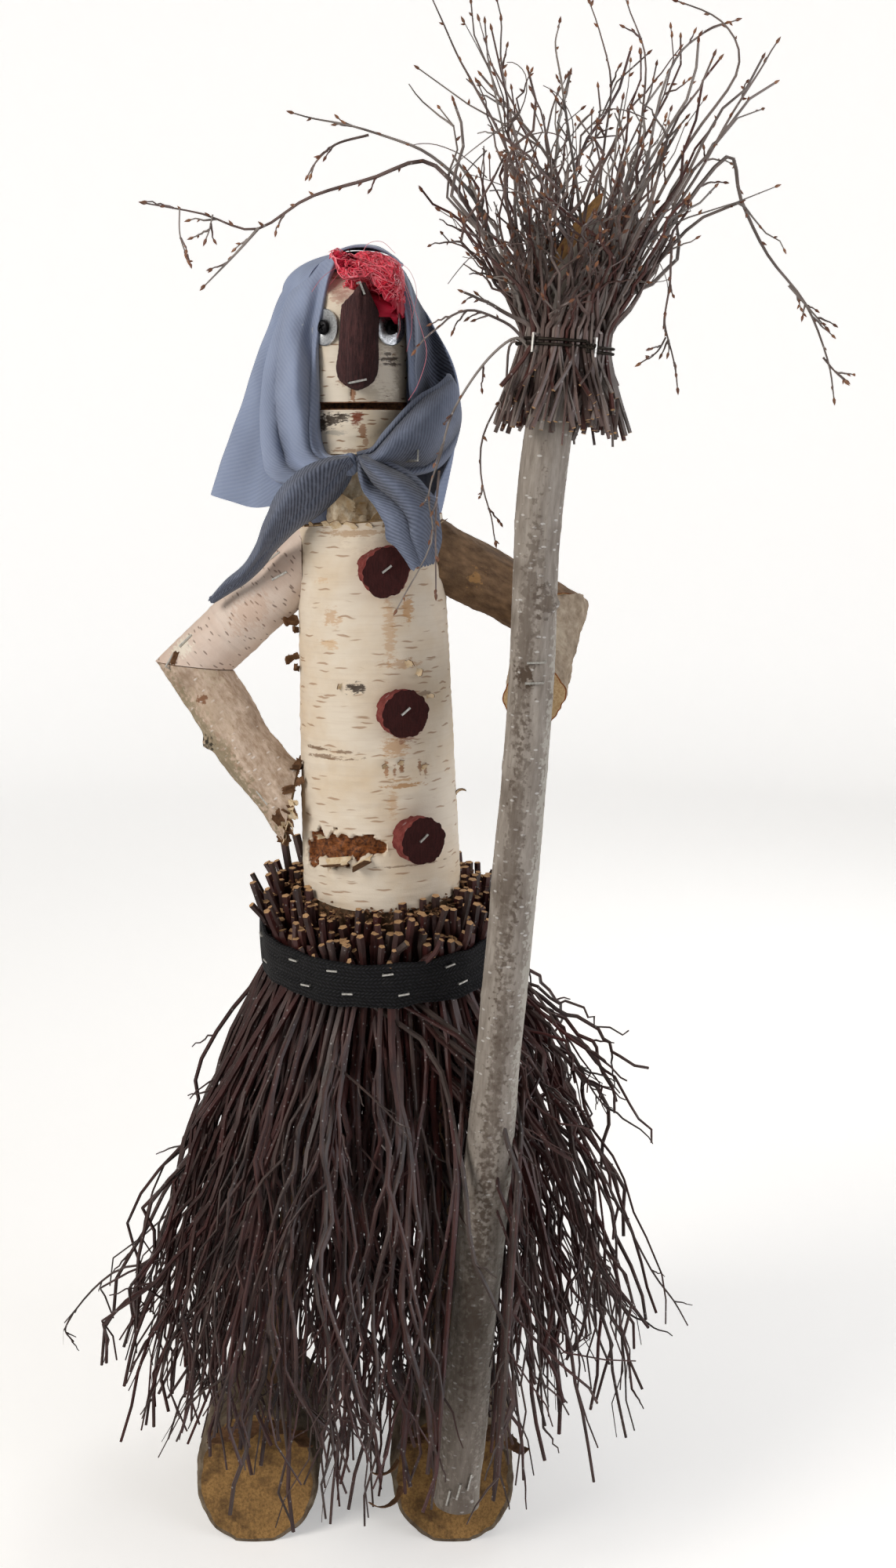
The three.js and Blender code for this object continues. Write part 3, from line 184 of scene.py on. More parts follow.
def painted(add, place, base, ragged, spots):
    """The colour with ragged ovals over it, each with its centre and half sizes in mm, colour, strength."""
    for centre, half, colour, strength in spots:
        moved = add("VectorMath", place, centre, operation="SUBTRACT")
        scaled = add("VectorMath", moved, tuple(1 / h for h in half), operation="MULTIPLY")
        distance = add("VectorMath", scaled, operation="LENGTH", out="Value")
        swing = add("MapRange", ragged, 0.3, 0.7, -0.75, 0.75, clamp=False)
        edge = add("Math", distance, swing, operation="ADD")
        mask = add("MapRange", edge, 1.1, 0.55, 0.0, 1.0, interpolation_type="SMOOTHSTEP")
        fade = add("Math", mask, strength, operation="MULTIPLY")
        base = add("MixRGB", fade, base, linear(colour))
    return base


def birch_bark(name, words, dash, dash_strength, spots, torn=""):
    """White birch bark, peeled smooth by growth: satin, cream to peach, with dark dashes round the log."""
    pale, warm, dark = colours(words)
    width, height = dash
    finish, add = new_finish(name, 0.62, Specular_IOR_Level=0.35)
    place = millimetres(add)
    cloudy = add("TexNoise", place, Scale=1 / 38, Detail=4.0, Roughness=0.6)
    base = over(add, pale, warm, cloudy, 0.42, 0.75, 0.8)
    peel = add("TexNoise", millimetres(add, (34, 34, 1.6)), Scale=1.0, Detail=3.0)
    base = over(add, base, mixed(pale, dark, 0.28), peel, 0.5, 0.78, 0.42)
    speckle = add("TexNoise", place, Scale=0.9, Detail=2.0)
    wobble = add("VectorMath", place, (1 / width, 1 / width, 1 / height), operation="MULTIPLY")
    bend = add("TexNoise", place, Scale=0.12, Detail=1.0)
    wobble = add("VectorMath", wobble, add("CombineXYZ", Z=bend), operation="ADD")
    cell = add("TexVoronoi", wobble, Scale=1.0, Randomness=0.9)
    dashes = add("MapRange", cell, 0.25, 0.17, 0.0, dash_strength)
    base = add("MixRGB", dashes, base, dark)
    ragged = add("TexNoise", millimetres(add, (4.5, 4.5, 1.5)), Scale=1.0, Detail=5.0, Roughness=0.68)
    base = painted(add, place, base, ragged, spots)
    relief = add("Math", peel, dashes, operation="SUBTRACT")
    relief = add("Math", relief, speckle, operation="ADD")
    if torn:
        tear = add("Attribute", attribute_name="torn", out="Fac")
        shreds = add("TexNoise", place, Scale=0.42, Detail=6.0, Roughness=0.7)
        inside = over(add, *colours(torn), shreds, 0.36, 0.62)
        edge = add("MapRange", tear, 0.35, 0.55)
        base = add("MixRGB", edge, base, inside)
        relief = add("MixRGB", edge, relief, shreds)
    shaded(finish, base, relief, 0.28, 0.5)


def rough_bark(name, words, grain, bump_size, specks=0.0, spots=()):
    """Bark of a grown branch: matt, mottled along the branch, with pale lenticels and darker knots."""
    main, other, dark = colours(words)
    finish, add = new_finish(name, 0.82, Specular_IOR_Level=0.25)
    place = millimetres(add)
    along = add("TexNoise", millimetres(add, grain), Scale=1.0, Detail=6.0, Roughness=0.62)
    base = over(add, main, other, along, 0.34, 0.66)
    cloudy = add("TexNoise", place, Scale=1 / 26, Detail=3.0)
    base = over(add, base, dark, cloudy, 0.52, 0.72, 0.6)
    fine = add("TexNoise", place, Scale=0.7, Detail=4.0, Roughness=0.7)
    cell = add("TexVoronoi", millimetres(add, (9, 9, 4)), Scale=1.0)
    pores = add("MapRange", cell, 0.2, 0.13, 0.0, specks)
    base = add("MixRGB", pores, base, mixed(main, WHITE, 0.45))
    ragged = add("TexNoise", place, Scale=1 / 3, Detail=4.0)
    base = painted(add, place, base, ragged, spots)
    relief = add("Math", along, fine, operation="ADD")
    relief = add("Math", relief, pores, operation="ADD")
    shaded(finish, base, relief, 0.45, bump_size)


def sawn_face(name, words, ring=2.6, streak=(1.1, 1.1, 1.1), blotch=0.2):
    """End grain left by a saw: matt and fuzzy, with rings round the heart and darker blotches."""
    main, dark = colours(words)
    finish, add = new_finish(name, 0.85, Specular_IOR_Level=0.2)
    place = millimetres(add)
    flat = add("VectorMath", place, (1.0, 1.0, 0.0), operation="MULTIPLY")
    swirl = add("TexNoise", flat, Scale=1 / 16, Detail=2.0, out="Color")
    shaken = add("VectorMath", swirl, (9.0, 9.0, 0.0), operation="MULTIPLY")
    flat = add("VectorMath", flat, shaken, operation="ADD")
    shape = {"wave_type": "RINGS", "rings_direction": "SPHERICAL"}
    rings = add("TexWave", flat, Scale=ONE_WAVE / ring, Distortion=0.6, Detail=2.0, **shape)
    grit = add("TexNoise", millimetres(add, streak), Scale=0.8, Detail=5.0, Roughness=0.7)
    ring_fade = add("Math", rings, 0.16, operation="MULTIPLY")
    base = over(add, add("MixRGB", ring_fade, main, dark), dark, grit, 0.42, 0.7, 0.75)
    cloudy = add("TexNoise", place, Scale=1 / 15, Detail=4.0, Roughness=0.65)
    base = over(add, base, dark, cloudy, 0.45, 0.68, blotch)
    shaded(finish, base, grit, 0.5, 0.6)


def twig_bark(name, words, gloss):
    """Bark of thin birch shoots: smooth, plum to grey, each shoot its own shade, with pale pores."""
    red, grey, dark = colours(words)
    finish, add = new_finish(name, gloss, Specular_IOR_Level=0.4)
    tint = add("Attribute", attribute_name="tint", out="Fac")
    base = add("MixRGB", tint, red, grey)
    place = millimetres(add)
    patches = add("TexNoise", place, Scale=1 / 22, Detail=3.0)
    base = over(add, base, dark, patches, 0.42, 0.66, 0.7)
    cell = add("TexVoronoi", place, Scale=1 / 4.5)
    base = over(add, base, mixed(grey, WHITE, 0.3), cell, 0.17, 0.1, 0.55)
    fine = add("TexNoise", place, Scale=0.8, Detail=3.0)
    shaded(finish, base, fine, 0.35, 0.4)


def twill_cloth(name, words):
    """Cotton twill, woven: matt with a soft sheen, bleached where it lies open and still dark in its folds.

    The 0.5 mm ribs are drawn 1.5 mm apart so that they show.
    """
    main, deep = colours(words)
    pale = mixed(main, WHITE, 0.1)
    finish, add = new_finish(name, 0.88, Specular_IOR_Level=0.2, Sheen_Weight=0.2, Sheen_Roughness=0.5)
    weave = add("Attribute", attribute_name="weave", out="Vector")
    shape = {"wave_type": "BANDS", "bands_direction": "DIAGONAL"}
    ribs = add("TexWave", weave, Scale=ONE_WAVE / 1.5, Distortion=0.4, Detail=1.0, **shape)
    slub = add("TexNoise", weave, Scale=0.35, Detail=4.0)
    # painted shade, darker in the folds, tails, knot and hollows
    folded = add("Attribute", attribute_name="folded", out="Fac")
    base = add("MixRGB", folded, main, mixed(main, deep, 0.9))
    fade = add("Math", ribs, 0.3, operation="MULTIPLY")
    base = add("MixRGB", fade, base, pale)
    base = over(add, base, pale, slub, 0.45, 0.8, 0.2)
    relief = add("Math", ribs, slub, operation="ADD")
    shaded(finish, base, relief, 0.3, 0.25)


def belt_webbing(name, words):
    """Polypropylene webbing, woven in a herringbone: black with a dull gloss on each raised thread.

    Its threads are drawn about 2 mm apart so that they show.
    """
    main, pale = colours(words)
    finish, add = new_finish(name, 0.66, Specular_IOR_Level=0.22)
    weave = add("Attribute", attribute_name="weave", out="Vector")
    run = add("SeparateXYZ", weave)
    rise = run.node.outputs["Y"]
    fold = add("Math", rise, 5.0, operation="PINGPONG")
    slant = add("Math", run, fold, operation="ADD")
    course = add("Math", rise, 0.75, operation="MULTIPLY")
    cell = add("CombineXYZ", X=slant, Y=course)
    threads = add("TexWave", cell, Scale=ONE_WAVE / 2.6, wave_type="BANDS", bands_direction="X")
    rows = add("TexWave", cell, Scale=ONE_WAVE / 1.9, wave_type="BANDS", bands_direction="Y")
    raised = add("Math", threads, rows, operation="MULTIPLY")
    # painted sheen on each raised thread
    base = add("MixRGB", raised, main, pale)
    shaded(finish, base, raised, 0.8, 0.7)


def dyed_fibre(name, words):
    """Sisal, stripped and dyed: stiff shiny fibres, pink where thin and deep red in the mass."""
    bright, deep = colours(words)
    finish, add = new_finish(name, 0.5, Specular_IOR_Level=0.2)
    tint = add("Attribute", attribute_name="tint", out="Fac")
    base = add("MixRGB", tint, deep, bright)
    streak = add("TexNoise", millimetres(add, (6, 1, 1)), Scale=1.0, Detail=2.0)
    link(finish, Base_Color=over(add, base, deep, streak, 0.5, 0.8, 0.5))


def metal(name, words, roughness):
    """A metal surface with fine handling marks, which vary its gloss and its shade a little."""
    finish, add = new_finish(name, roughness, Metallic=1.0)
    marks = add("TexNoise", millimetres(add), Scale=0.7, Detail=5.0, Roughness=0.7)
    base = over(add, *colours(words), marks, 0.4, 0.7)
    gloss = add("MapRange", marks, 0.3, 0.8, roughness, roughness + 0.25)
    link(finish, Roughness=gloss)
    shaded(finish, base, marks, 0.12, 0.2)


# Shapes
NOISE_CELLS = 32
NOISE = np.random.default_rng(5).random((NOISE_CELLS,) * 3)
FRONT = Vector((0, -1, 0))
UP = Vector((0, 0, 1))
FIGURE = Matrix.Translation(ORIGIN)


def rough(points, size):
    """Smooth random values from -1 to 1 that change over about size millimetres."""
    place = np.asarray(points, float) / size
    cell = np.floor(place).astype(int)
    part = place - cell
    part = part * part * (3 - 2 * part)
    total = np.zeros(place.shape[:-1])
    for corner in np.ndindex(2, 2, 2):
        weight = np.prod(np.where(corner, part, 1 - part), axis=-1)
        i, j, k = np.moveaxis((cell + corner) % NOISE_CELLS, -1, 0)
        total += weight * NOISE[i, j, k]
    return 2 * total - 1


def hump(values, centre, width):
    """A bell that is 1 at the centre and fades out over the width."""
    return np.exp(-(((values - centre) / width) ** 2))


def curve_through(points, count):
    """Points along a smooth curve through the given ones, or rows of points through given rows."""
    points = np.asarray(points, float)
    padded = np.concatenate([2 * points[:1] - points[1:2], points, 2 * points[-1:] - points[-2:-1]])
    place = np.linspace(0, len(points) - 1, count)
    k = np.minimum(place.astype(int), len(points) - 2)
    t = (place - k).reshape(-1, *[1] * (points.ndim - 1))
    a, b, c, d = (padded[k + i] for i in range(4))
    return b + 0.5 * t * (c - a + t * (2 * a - 5 * b + 4 * c - d + t * (3 * (b - c) + d - a)))


def points_in(text):
    """Points from a text of three numbers for each, with commas between them."""
    return np.array([point.split() for point in text.split(",")], float)


def strays_in(text):
    """Thickness and points of each stray in a text, such as 1.2: 0 0 0, 0 0 9; 0.8: 0 0 9, 5 0 9."""
    return [(float(thick), points_in(track)) for thick, track in (row.split(":") for row in text.split(";"))]


def surface_through(net, rows, columns):
    """A smooth surface of rows by columns points through a coarse net of points."""
    tall = curve_through(net, rows)
    return np.swapaxes(curve_through(np.swapaxes(tall, 0, 1), columns), 0, 1)


def grid_faces(rows, columns, closed=False):
    """Quads of a net of rows by columns points; a closed net wraps round in the columns."""
    r, c = np.meshgrid(np.arange(rows - 1), np.arange(columns if closed else columns - 1), indexing="ij")
    right = (c + 1) % columns
    near, far = r * columns, (r + 1) * columns
    return np.stack([near + c, near + right, far + right, far + c], -1).reshape(-1, 4).tolist()


def tube_faces(rows, sides):
    """Quads of a tube of rows by sides points, and a cap at either end."""
    caps = [list(range(sides))[::-1], list(range((rows - 1) * sides, rows * sides))]
    return grid_faces(rows, sides, closed=True) + caps


def units(vectors):
    """Vectors of length 1 along the last axis."""
    return vectors / (np.linalg.norm(vectors, axis=-1, keepdims=True) + 1e-9)


def placed(name, data):
    """A new object of the scene."""
    piece = bpy.data.objects.new(name, data)
    bpy.context.scene.collection.objects.link(piece)
    return piece


def build(name, points, faces, looks, place=FIGURE, picks=None, marks=None, crease=50):
    """A piece from points in millimetres, with a finish for each face and marks for each point."""
    mesh = bpy.data.meshes.new(name)
    mesh.from_pydata((np.asarray(points, float).reshape(-1, 3) * MM).tolist(), [], faces)
    for look in looks:
        mesh.materials.append(finish(look))
    if picks is not None:
        mesh.polygons.foreach_set("material_index", np.asarray(picks, int))
    for key, values in (marks or {}).items():
        values = np.asarray(values, float)
        flat = values.ndim == 1
        mark = mesh.attributes.new(key, "FLOAT" if flat else "FLOAT_VECTOR", "POINT")
        mark.data.foreach_set("value" if flat else "vector", values.ravel())
    mesh.shade_smooth()
    mesh.set_sharp_from_angle(angle=radians(crease))
    piece = placed(name, mesh)
    piece.matrix_world = place
    return piece


def settle(piece, slot, *nodes):
    """The piece rides on the figure, takes its record slot and stands for the frame's nodes."""
    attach(piece, "root")
    if nodes:
        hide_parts(*nodes)
    return piece


def log_frame(foot, tip, front=FRONT):
    """Turns and places a log's own frame: z along it, -y to its front."""
    axis = (tip - foot).normalized()
    back = -(front - axis * front.dot(axis)).normalized()
    side = back.cross(axis)
    turned = Matrix((side, back, axis)).transposed().to_4x4()
    return Matrix.Translation(ORIGIN + foot * MM) @ turned


CAP_RINGS = (0.02, 0.25, 0.45, 0.62, 0.76, 0.88, 0.955)


def log_piece(
    name, foot, tip, radii, looks, cuts=(None, None), front=FRONT, sides=112, shares=None, relief=None,
    reshape=None, grain=1.0,
):
    """A log with bark and sawn ends. Each cut is a point and an outward normal of a plane."""
    length = (tip - foot).length
    frame_of_log = log_frame(foot, tip, front)
    home = frame_of_log.inverted()
    shares = np.linspace(0, 1, max(6, int(length / 2.0))) if shares is None else np.asarray(shares)
    turns = np.linspace(0, 2 * np.pi, sides, endpoint=False)
    mean = sum(radii) / 2

    def end_height(cut, fallback, x, y):
        """How far along the log a cut plane meets the line above x, y."""
        if cut is None:
            return np.full_like(x, fallback)
        point = home @ (ORIGIN + cut[0] * MM) / MM
        normal = home.to_3x3() @ cut[1]
        return (normal.dot(point) - normal.x * x - normal.y * y) / normal.z

    across = np.sin(turns) * mean, -np.cos(turns) * mean
    low = end_height(cuts[0], 0.0, *across)
    high = end_height(cuts[1], length, *across)
    heights = low + (high - low) * shares[:, None]
    radius = radii[0] + (radii[1] - radii[0]) * heights / length
    place = np.stack([across[0] + 0 * heights, across[1] + 0 * heights, heights], -1) + 37.0 * len(name)
    radius = radius * (1 + 0.018 * grain * rough(place * (1, 1, 0.25), mean * 0.9))
    fine = 0.45 * rough(place * (1, 1, 0.7), 13) + 0.22 * rough(place * (0.6, 0.6, 2.0), 4)
    radius = radius + grain * fine
    torn = np.zeros_like(radius)
    if relief:
        change, torn = relief(np.degrees((turns + np.pi) % (2 * np.pi) - np.pi)[None, :], heights)
        radius = radius + change
    x, y = radius * np.sin(turns), -radius * np.cos(turns)
    heights[0] = end_height(cuts[0], 0.0, x[0], y[0])
    heights[-1] = end_height(cuts[1], length, x[-1], y[-1])
    body = np.stack([x, y, heights], -1)
    if reshape:
        body = reshape(body)
    steps = np.array(CAP_RINGS)[:, None, None]
    lower = body[0].mean(0) + (body[0] - body[0].mean(0)) * steps
    upper = (body[-1].mean(0) + (body[-1] - body[-1].mean(0)) * steps)[::-1]
    for cap in (lower, upper):
        cap[..., 2] += 0.3 * rough(cap + 11, 5) + 0.2 * rough(cap, 1.6)
    net = np.concatenate([lower, body, upper])
    rows, rings = len(net), len(CAP_RINGS)
    picks = np.zeros((rows - 1, sides), int)
    picks[: rings - 1] = picks[-(rings - 1) :] = 1
    picks[rings - 1] = picks[-rings] = 2 if len(looks) > 2 else 1
    picks = np.append(picks.ravel(), [1, 1])
    tear = np.zeros((rows, sides))
    tear[rings:-rings] = torn
    return build(name, net, tube_faces(rows, sides), looks, frame_of_log, picks, {"torn": tear.ravel()})


def shell(net, thickness):
    """Points, faces and picks of a closed skin round a net of points; a pick is 1 on back and rim."""
    rows, columns, _ = net.shape
    half = units(np.cross(np.gradient(net, axis=1), np.gradient(net, axis=0))) * thickness / 2
    points = np.concatenate([(net + half).reshape(-1, 3), (net - half).reshape(-1, 3)])
    front = grid_faces(rows, columns)
    count = rows * columns
    back = [[i + count for i in reversed(face)] for face in front]
    edge = list(range(columns))
    edge += [r * columns + columns - 1 for r in range(1, rows)]
    edge += [(rows - 1) * columns + c for c in range(columns - 2, -1, -1)]
    edge += [r * columns for r in range(rows - 2, 0, -1)]
    rim = [[b, a, a + count, b + count] for a, b in zip(edge, edge[1:] + edge[:1])]
    return points, front + back + rim, [0] * len(front) + [1] * (len(back) + len(rim))


class Sheets:
    """Collects thin skins into one mesh, each with a weave that runs along its net in millimetres."""

    def __init__(self):
        self.points, self.faces, self.picks, self.weave, self.folded = [], [], [], [], []

    def add(self, net, thickness, weave=None, pick=None, folded=0.0):
        points, faces, picks = shell(net, thickness)
        picks = picks if pick is None else [pick] * len(picks)
        start = sum(len(p) for p in self.points)
        self.points.append(points)
        self.faces += [[i + start for i in face] for face in faces]
        self.picks += picks
        if weave is None:
            steps = [np.linalg.norm(np.diff(net, axis=a), axis=-1).mean(1 - a) for a in (0, 1)]
            run = [np.concatenate([[0], np.cumsum(s)]) for s in steps]
            weave = np.stack(np.meshgrid(run[1], run[0]) + [np.zeros(net.shape[:2])], -1)
        self.weave += [weave.reshape(-1, 3)] * 2
        # painted shade of each point
        self.folded += [np.broadcast_to(folded, net.shape[:2]).ravel()] * 2

    def make(self, name, looks):
        picks = [0] * len(self.picks) if len(looks) == 1 else self.picks
        marks = {"weave": np.concatenate(self.weave), "folded": np.concatenate(self.folded)}
        return build(name, np.concatenate(self.points), self.faces, looks, FIGURE, picks, marks)


class Strands:
    """Collects many thin tapered tubes into one mesh; cut ends take finish 1 and buds finish 2."""

    def __init__(self, sides):
        self.around = np.linspace(0, 2 * np.pi, sides, endpoint=False)
        self.points, self.faces, self.picks, self.tints, self.count = [], [], [], [], 0

    def add(self, path, radii, tint, ends=(0, 0), pick=0):
        path = np.asarray(path, float)
        radii = np.broadcast_to(radii, len(path))
        tangent = units(np.gradient(path, axis=0))
        side = units(np.cross(tangent, np.eye(3)[np.abs(tangent.mean(0)).argmin()]))
        other = np.cross(tangent, side)
        c, s = np.cos(self.around)[None, :, None], np.sin(self.around)[None, :, None]
        rings = path[:, None] + radii[:, None, None] * (c * side[:, None] + s * other[:, None])
        rows, sides = rings.shape[:2]
        self.faces += [[i + self.count for i in face] for face in tube_faces(rows, sides)]
        self.picks += [pick] * ((rows - 1) * sides) + [ends[0] or pick, ends[1] or pick]
        self.points.append(rings.reshape(-1, 3))
        self.tints += [tint] * (rows * sides)
        self.count += rows * sides

    def bud(self, point, direction, size, tint):
        steps = np.array([0.0, 0.3, 0.62, 1.0])[:, None]
        radii = np.array([0.5, 1.0, 0.75, 0.12]) * size * 0.24
        self.add(point + direction * steps * size, radii, tint, pick=2)

    def make(self, name, looks):
        points, marks = np.concatenate(self.points), {"tint": self.tints}
        return build(name, points, self.faces, looks, FIGURE, self.picks, marks, crease=60)


def steps_to(path):
    """How far along a path each of its points lies."""
    return np.concatenate([[0], np.cumsum(np.linalg.norm(np.diff(path, axis=0), axis=-1))])


def jitter(draw, *spreads):
    """A random vector with a spread along each axis."""
    return np.array([draw.gauss(0, spread) for spread in spreads])


def unit(vector):
    """A numpy vector of length 1."""
    return np.asarray(vector, float) / (np.linalg.norm(vector) + 1e-9)


def lathe(name, profile, looks, place, sides=64):
    """A turned piece from radius, height pairs that begin and end near the axis."""
    turns = np.linspace(0, 2 * np.pi, sides, endpoint=False)
    profile = np.asarray(profile, float)
    radius, height = profile[:, :1], profile[:, 1:]
    net = np.stack([radius * np.cos(turns), radius * np.sin(turns), height + 0 * turns], -1)
    return build(name, net, tube_faces(len(profile), sides), looks, place, crease=35)


def baked(piece):
    """The piece with its modifiers worked into its mesh."""
    seen = piece.evaluated_get(bpy.context.evaluated_depsgraph_get())
    result = bpy.data.meshes.new_from_object(seen)
    piece.modifiers.clear()
    old, piece.data = piece.data, result
    bpy.data.meshes.remove(old)
    return piece


def cut_away(piece, *tools):
    """Takes the tools' solids out of the piece and removes the tools."""
    for tool in tools:
        cut = piece.modifiers.new("cut", "BOOLEAN")
        cut.operation, cut.object, cut.solver = "DIFFERENCE", tool, "EXACT"
    baked(piece)
    for tool in tools:
        bpy.data.meshes.remove(tool.data)


def roughened_copy(node, name, looks, voxel, relief):
    """A finely meshed copy of a frame node, its surface moved out by relief(points) millimetres."""
    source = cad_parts[node]
    mesh = source.data.copy()
    mesh.transform(source.matrix_world)
    mesh.materials.clear()
    piece = placed(name, mesh)
    fine = piece.modifiers.new("fine", "REMESH")
    fine.mode, fine.voxel_size = "VOXEL", voxel * MM
    result = baked(piece).data
    count = len(result.vertices)
    points, normals = np.empty(count * 3), np.empty(count * 3)
    result.vertices.foreach_get("co", points)
    result.vertices.foreach_get("normal", normals)
    points, normals = points.reshape(-1, 3), normals.reshape(-1, 3)
    moved = points + normals * relief((points - np.array(ORIGIN)) / MM)[:, None] * MM
    result.vertices.foreach_set("co", moved.ravel())
    for look in looks:
        result.materials.append(finish(look))
    result.shade_smooth()
    result.update()
    return piece


# Settings
def colour_setting(name, text, default):
    """A colour that the user may change."""
    return FloatVectorProperty(
        name=name, description=text, default=linear(default)[:3], subtype="COLOR", min=0, max=1
    )


def count_setting(name, text, default, least, most):
    """A whole number that the user may change."""
    return IntProperty(name=name, description=text, default=default, min=least, max=most)


class WitchSettings(bpy.types.PropertyGroup):
    """Colours and sizes that a user of the figure would change."""

    bark: colour_setting("Bark", "Palest colour of the birch bark", "e4d8c6")
    cloth: colour_setting("Cloth", "Colour of the headscarf's twill", "8d9ab6")
    hair: colour_setting("Hair", "Colour of the dyed sisal where it is thin", "ffa2ae")
    button: colour_setting("Buttons", "Bark colour of the button slices", "6a2826")
    webbing: colour_setting("Belt", "Colour of the belt's webbing", "040405")
    shoot: colour_setting("Twigs", "Reddest colour of the skirt's twigs", "44211f")
    skirt_twigs: count_setting("Skirt twigs", "Stubs that stand round the waist", 404, 200, 600)
    broom_twigs: count_setting("Broom twigs", "Twigs bound round the handle", 174, 60, 240)
    hair_fibres: count_setting("Hair fibres", "Loose fibres of the hair", 2300, 100, 3000)
    cloth_thickness: FloatProperty(
        name="Cloth thickness", description="Thickness of the headscarf's twill",
        default=0.9 * MM, min=0.4 * MM, max=2 * MM, unit="LENGTH",
    )
    seed: count_setting("Seed", "Start of the random draws for twigs and fibres", 7, 0, 999)


def settings():
    """The figure's settings of this scene."""
    return bpy.context.scene.witch_settings


# Finishes
def spots_on(radius, *rows):
    """Spots on a log from rows of turn in degrees from the front, height, half sizes, colour and strength."""
    turned = [(radians(turn), height, *rest) for turn, height, *rest in rows]
    return [((radius * sin(t), -radius * cos(t), height), *rest) for t, height, *rest in turned]


# Scars, knots and stains of the torso's bark
SCAR, STAIN, BLACK, SPLIT = "7c5f45", "c08c50", "3a2d24", "8d5c34"
TORSO_SPOTS = spots_on(
    49,
    (-12, 133, (7, 6, 3.4), BLACK, 0.95),
    (-50, 94, (15, 12, 1.3), SCAR, 0.9),
    (-40, 89, (24, 16, 1.4), SCAR, 0.8),
    (-22, 93, (9, 6, 1.2), SCAR, 0.8),
    (21, 71, (14, 9, 1.6), "b5854f", 0.8),
    (19, 75, (9, 9, 1.1), "b5854f", 0.65),
    (19, 83, (1.7, 3, 5), SPLIT, 0.9),
    (14, 81, (1.3, 3, 4), SPLIT, 0.8),
    (8, 83, (1.5, 3, 6), "a9764a", 0.8),
    (34, 82, (1.3, 3, 5), SPLIT, 0.8),
    (39, 79, (1.1, 3, 5), SPLIT, 0.75),
    (29, 180, (4, 5, 9), STAIN, 0.7),
    (14, 168, (4, 5, 22), STAIN, 0.45),
    (21, 196, (6, 6, 4), STAIN, 0.7),
    (16, 96, (9, 6, 8), STAIN, 0.6),
    (24, 104, (8, 6, 7), "8a4a30", 0.6),
    (24, 147, (14, 9, 3), "b98a5a", 0.55),
    (40, 127, (6, 6, 2), SCAR, 0.6),
    (30, 116, (7, 6, 4), BLACK, 0.7),
    (-30, 176, (7, 6, 6), STAIN, 0.5),
    (-34, 160, (9, 6, 3), "d6b48c", 0.7),
    (-40, 199, (8, 6, 2), "d6b48c", 0.6),
    (-5, 222, (16, 10, 6), "efe3cf", 0.5),
    (12, 60, (3, 5, 9), STAIN, 0.4),
    (30, 20, (28, 18, 0.7), SCAR, 0.7),
    (-8, 228, (30, 20, 2.2), "b08a62", 0.6),
)
# Dark lichen under the mouth, the scribble beside the nose and painted light on the cheek
LICHEN, MARK, BROWN = "40352b", "4b3c30", "8d5c38"
HEAD_SPOTS = spots_on(
    29,
    # painted light on the cheek, against the shade of the hood
    (38, 50, (12, 9, 19), "fff6e6", 0.8),
    (-50, 19, (9, 9, 5.5), LICHEN, 0.95),
    (-34, 21, (9, 8, 4), LICHEN, 0.95),
    (-20, 22, (7, 6, 2.6), LICHEN, 0.9),
    (-30, 13, (9, 5, 1.6), "a9a49a", 0.7),
    (-2, 21, (3.5, 5, 4.5), "7a3a20", 0.95),
    (5, 14, (2.6, 5, 5), BROWN, 0.8),
    (9, 7, (2.2, 5, 4), BROWN, 0.6),
    (44, 57, (9, 8, 1.6), MARK, 0.9),
    (47, 54, (7, 8, 1.1), MARK, 0.85),
    (38, 60, (3, 4, 1.4), MARK, 0.8),
    (-6, 37, (1.8, 4, 6), BROWN, 0.9),
    (-10, 43, (8, 6, 2.4), BROWN, 0.6),
    (-22, 96, (8, 8, 7), "b98c78", 0.6),
    (-50, 78, (8, 8, 6), "8b4c3a", 0.6),
    (0, 2, (22, 12, 1.6), "8d6642", 0.7),
)
# Painted light down one side, brown weather streaks, a darker lower part, a wound and the knot of the broom's
# handle
STREAK = "4e4035"
HANDLE_SPOTS = spots_on(
    14.5,
    # painted light down one side of the handle
    (78, 420, (6, 12, 480), "c2beb4", 0.6),
    # darker towards the foot
    (0, 70, (16, 16, 190), STREAK, 0.38),
    (-30, 560, (6, 7, 75), STREAK, 0.5),
    (-16, 430, (6, 6, 90), STREAK, 0.45),
    (-2, 290, (6, 6, 110), STREAK, 0.5),
    (-4, 150, (6, 6, 80), STREAK, 0.4),
    (-30, 541, (6, 7, 6), STREAK, 0.9),
    (10, 585, (7, 7, 10), STREAK, 0.6),
)
# Stained, bleached and flaked places of the arms' bark
FOREARM_SPOTS = spots_on(
    19,
    (64, 52, (9, 19, 62), "8b8066", 0.75),
    (78, 46, (6, 9, 6), "2c2621", 0.95),
    (10, 34, (10, 9, 20), "c6b19b", 0.55),
    (-30, 12, (7, 6, 9), "c9b7a0", 0.6),
    (16, 22, (3, 5, 3), "7c4f32", 0.85),
)
ARM_SPOTS = (((14, -14, 88), (7, 9, 9), "e9e2d2", 0.8), ((0, -20, 40), (11, 14, 16), "c39a7c", 0.35))
GREY_SPOTS = (((0, -19, 18), (6, 12, 5), "b98c56", 0.6), ((-6, -17, 62), (5, 12, 7), "a89a82", 0.5))
PALE_SPOTS = (((0, -19, 60), (8, 12, 20), "b9ab94", 0.5),)

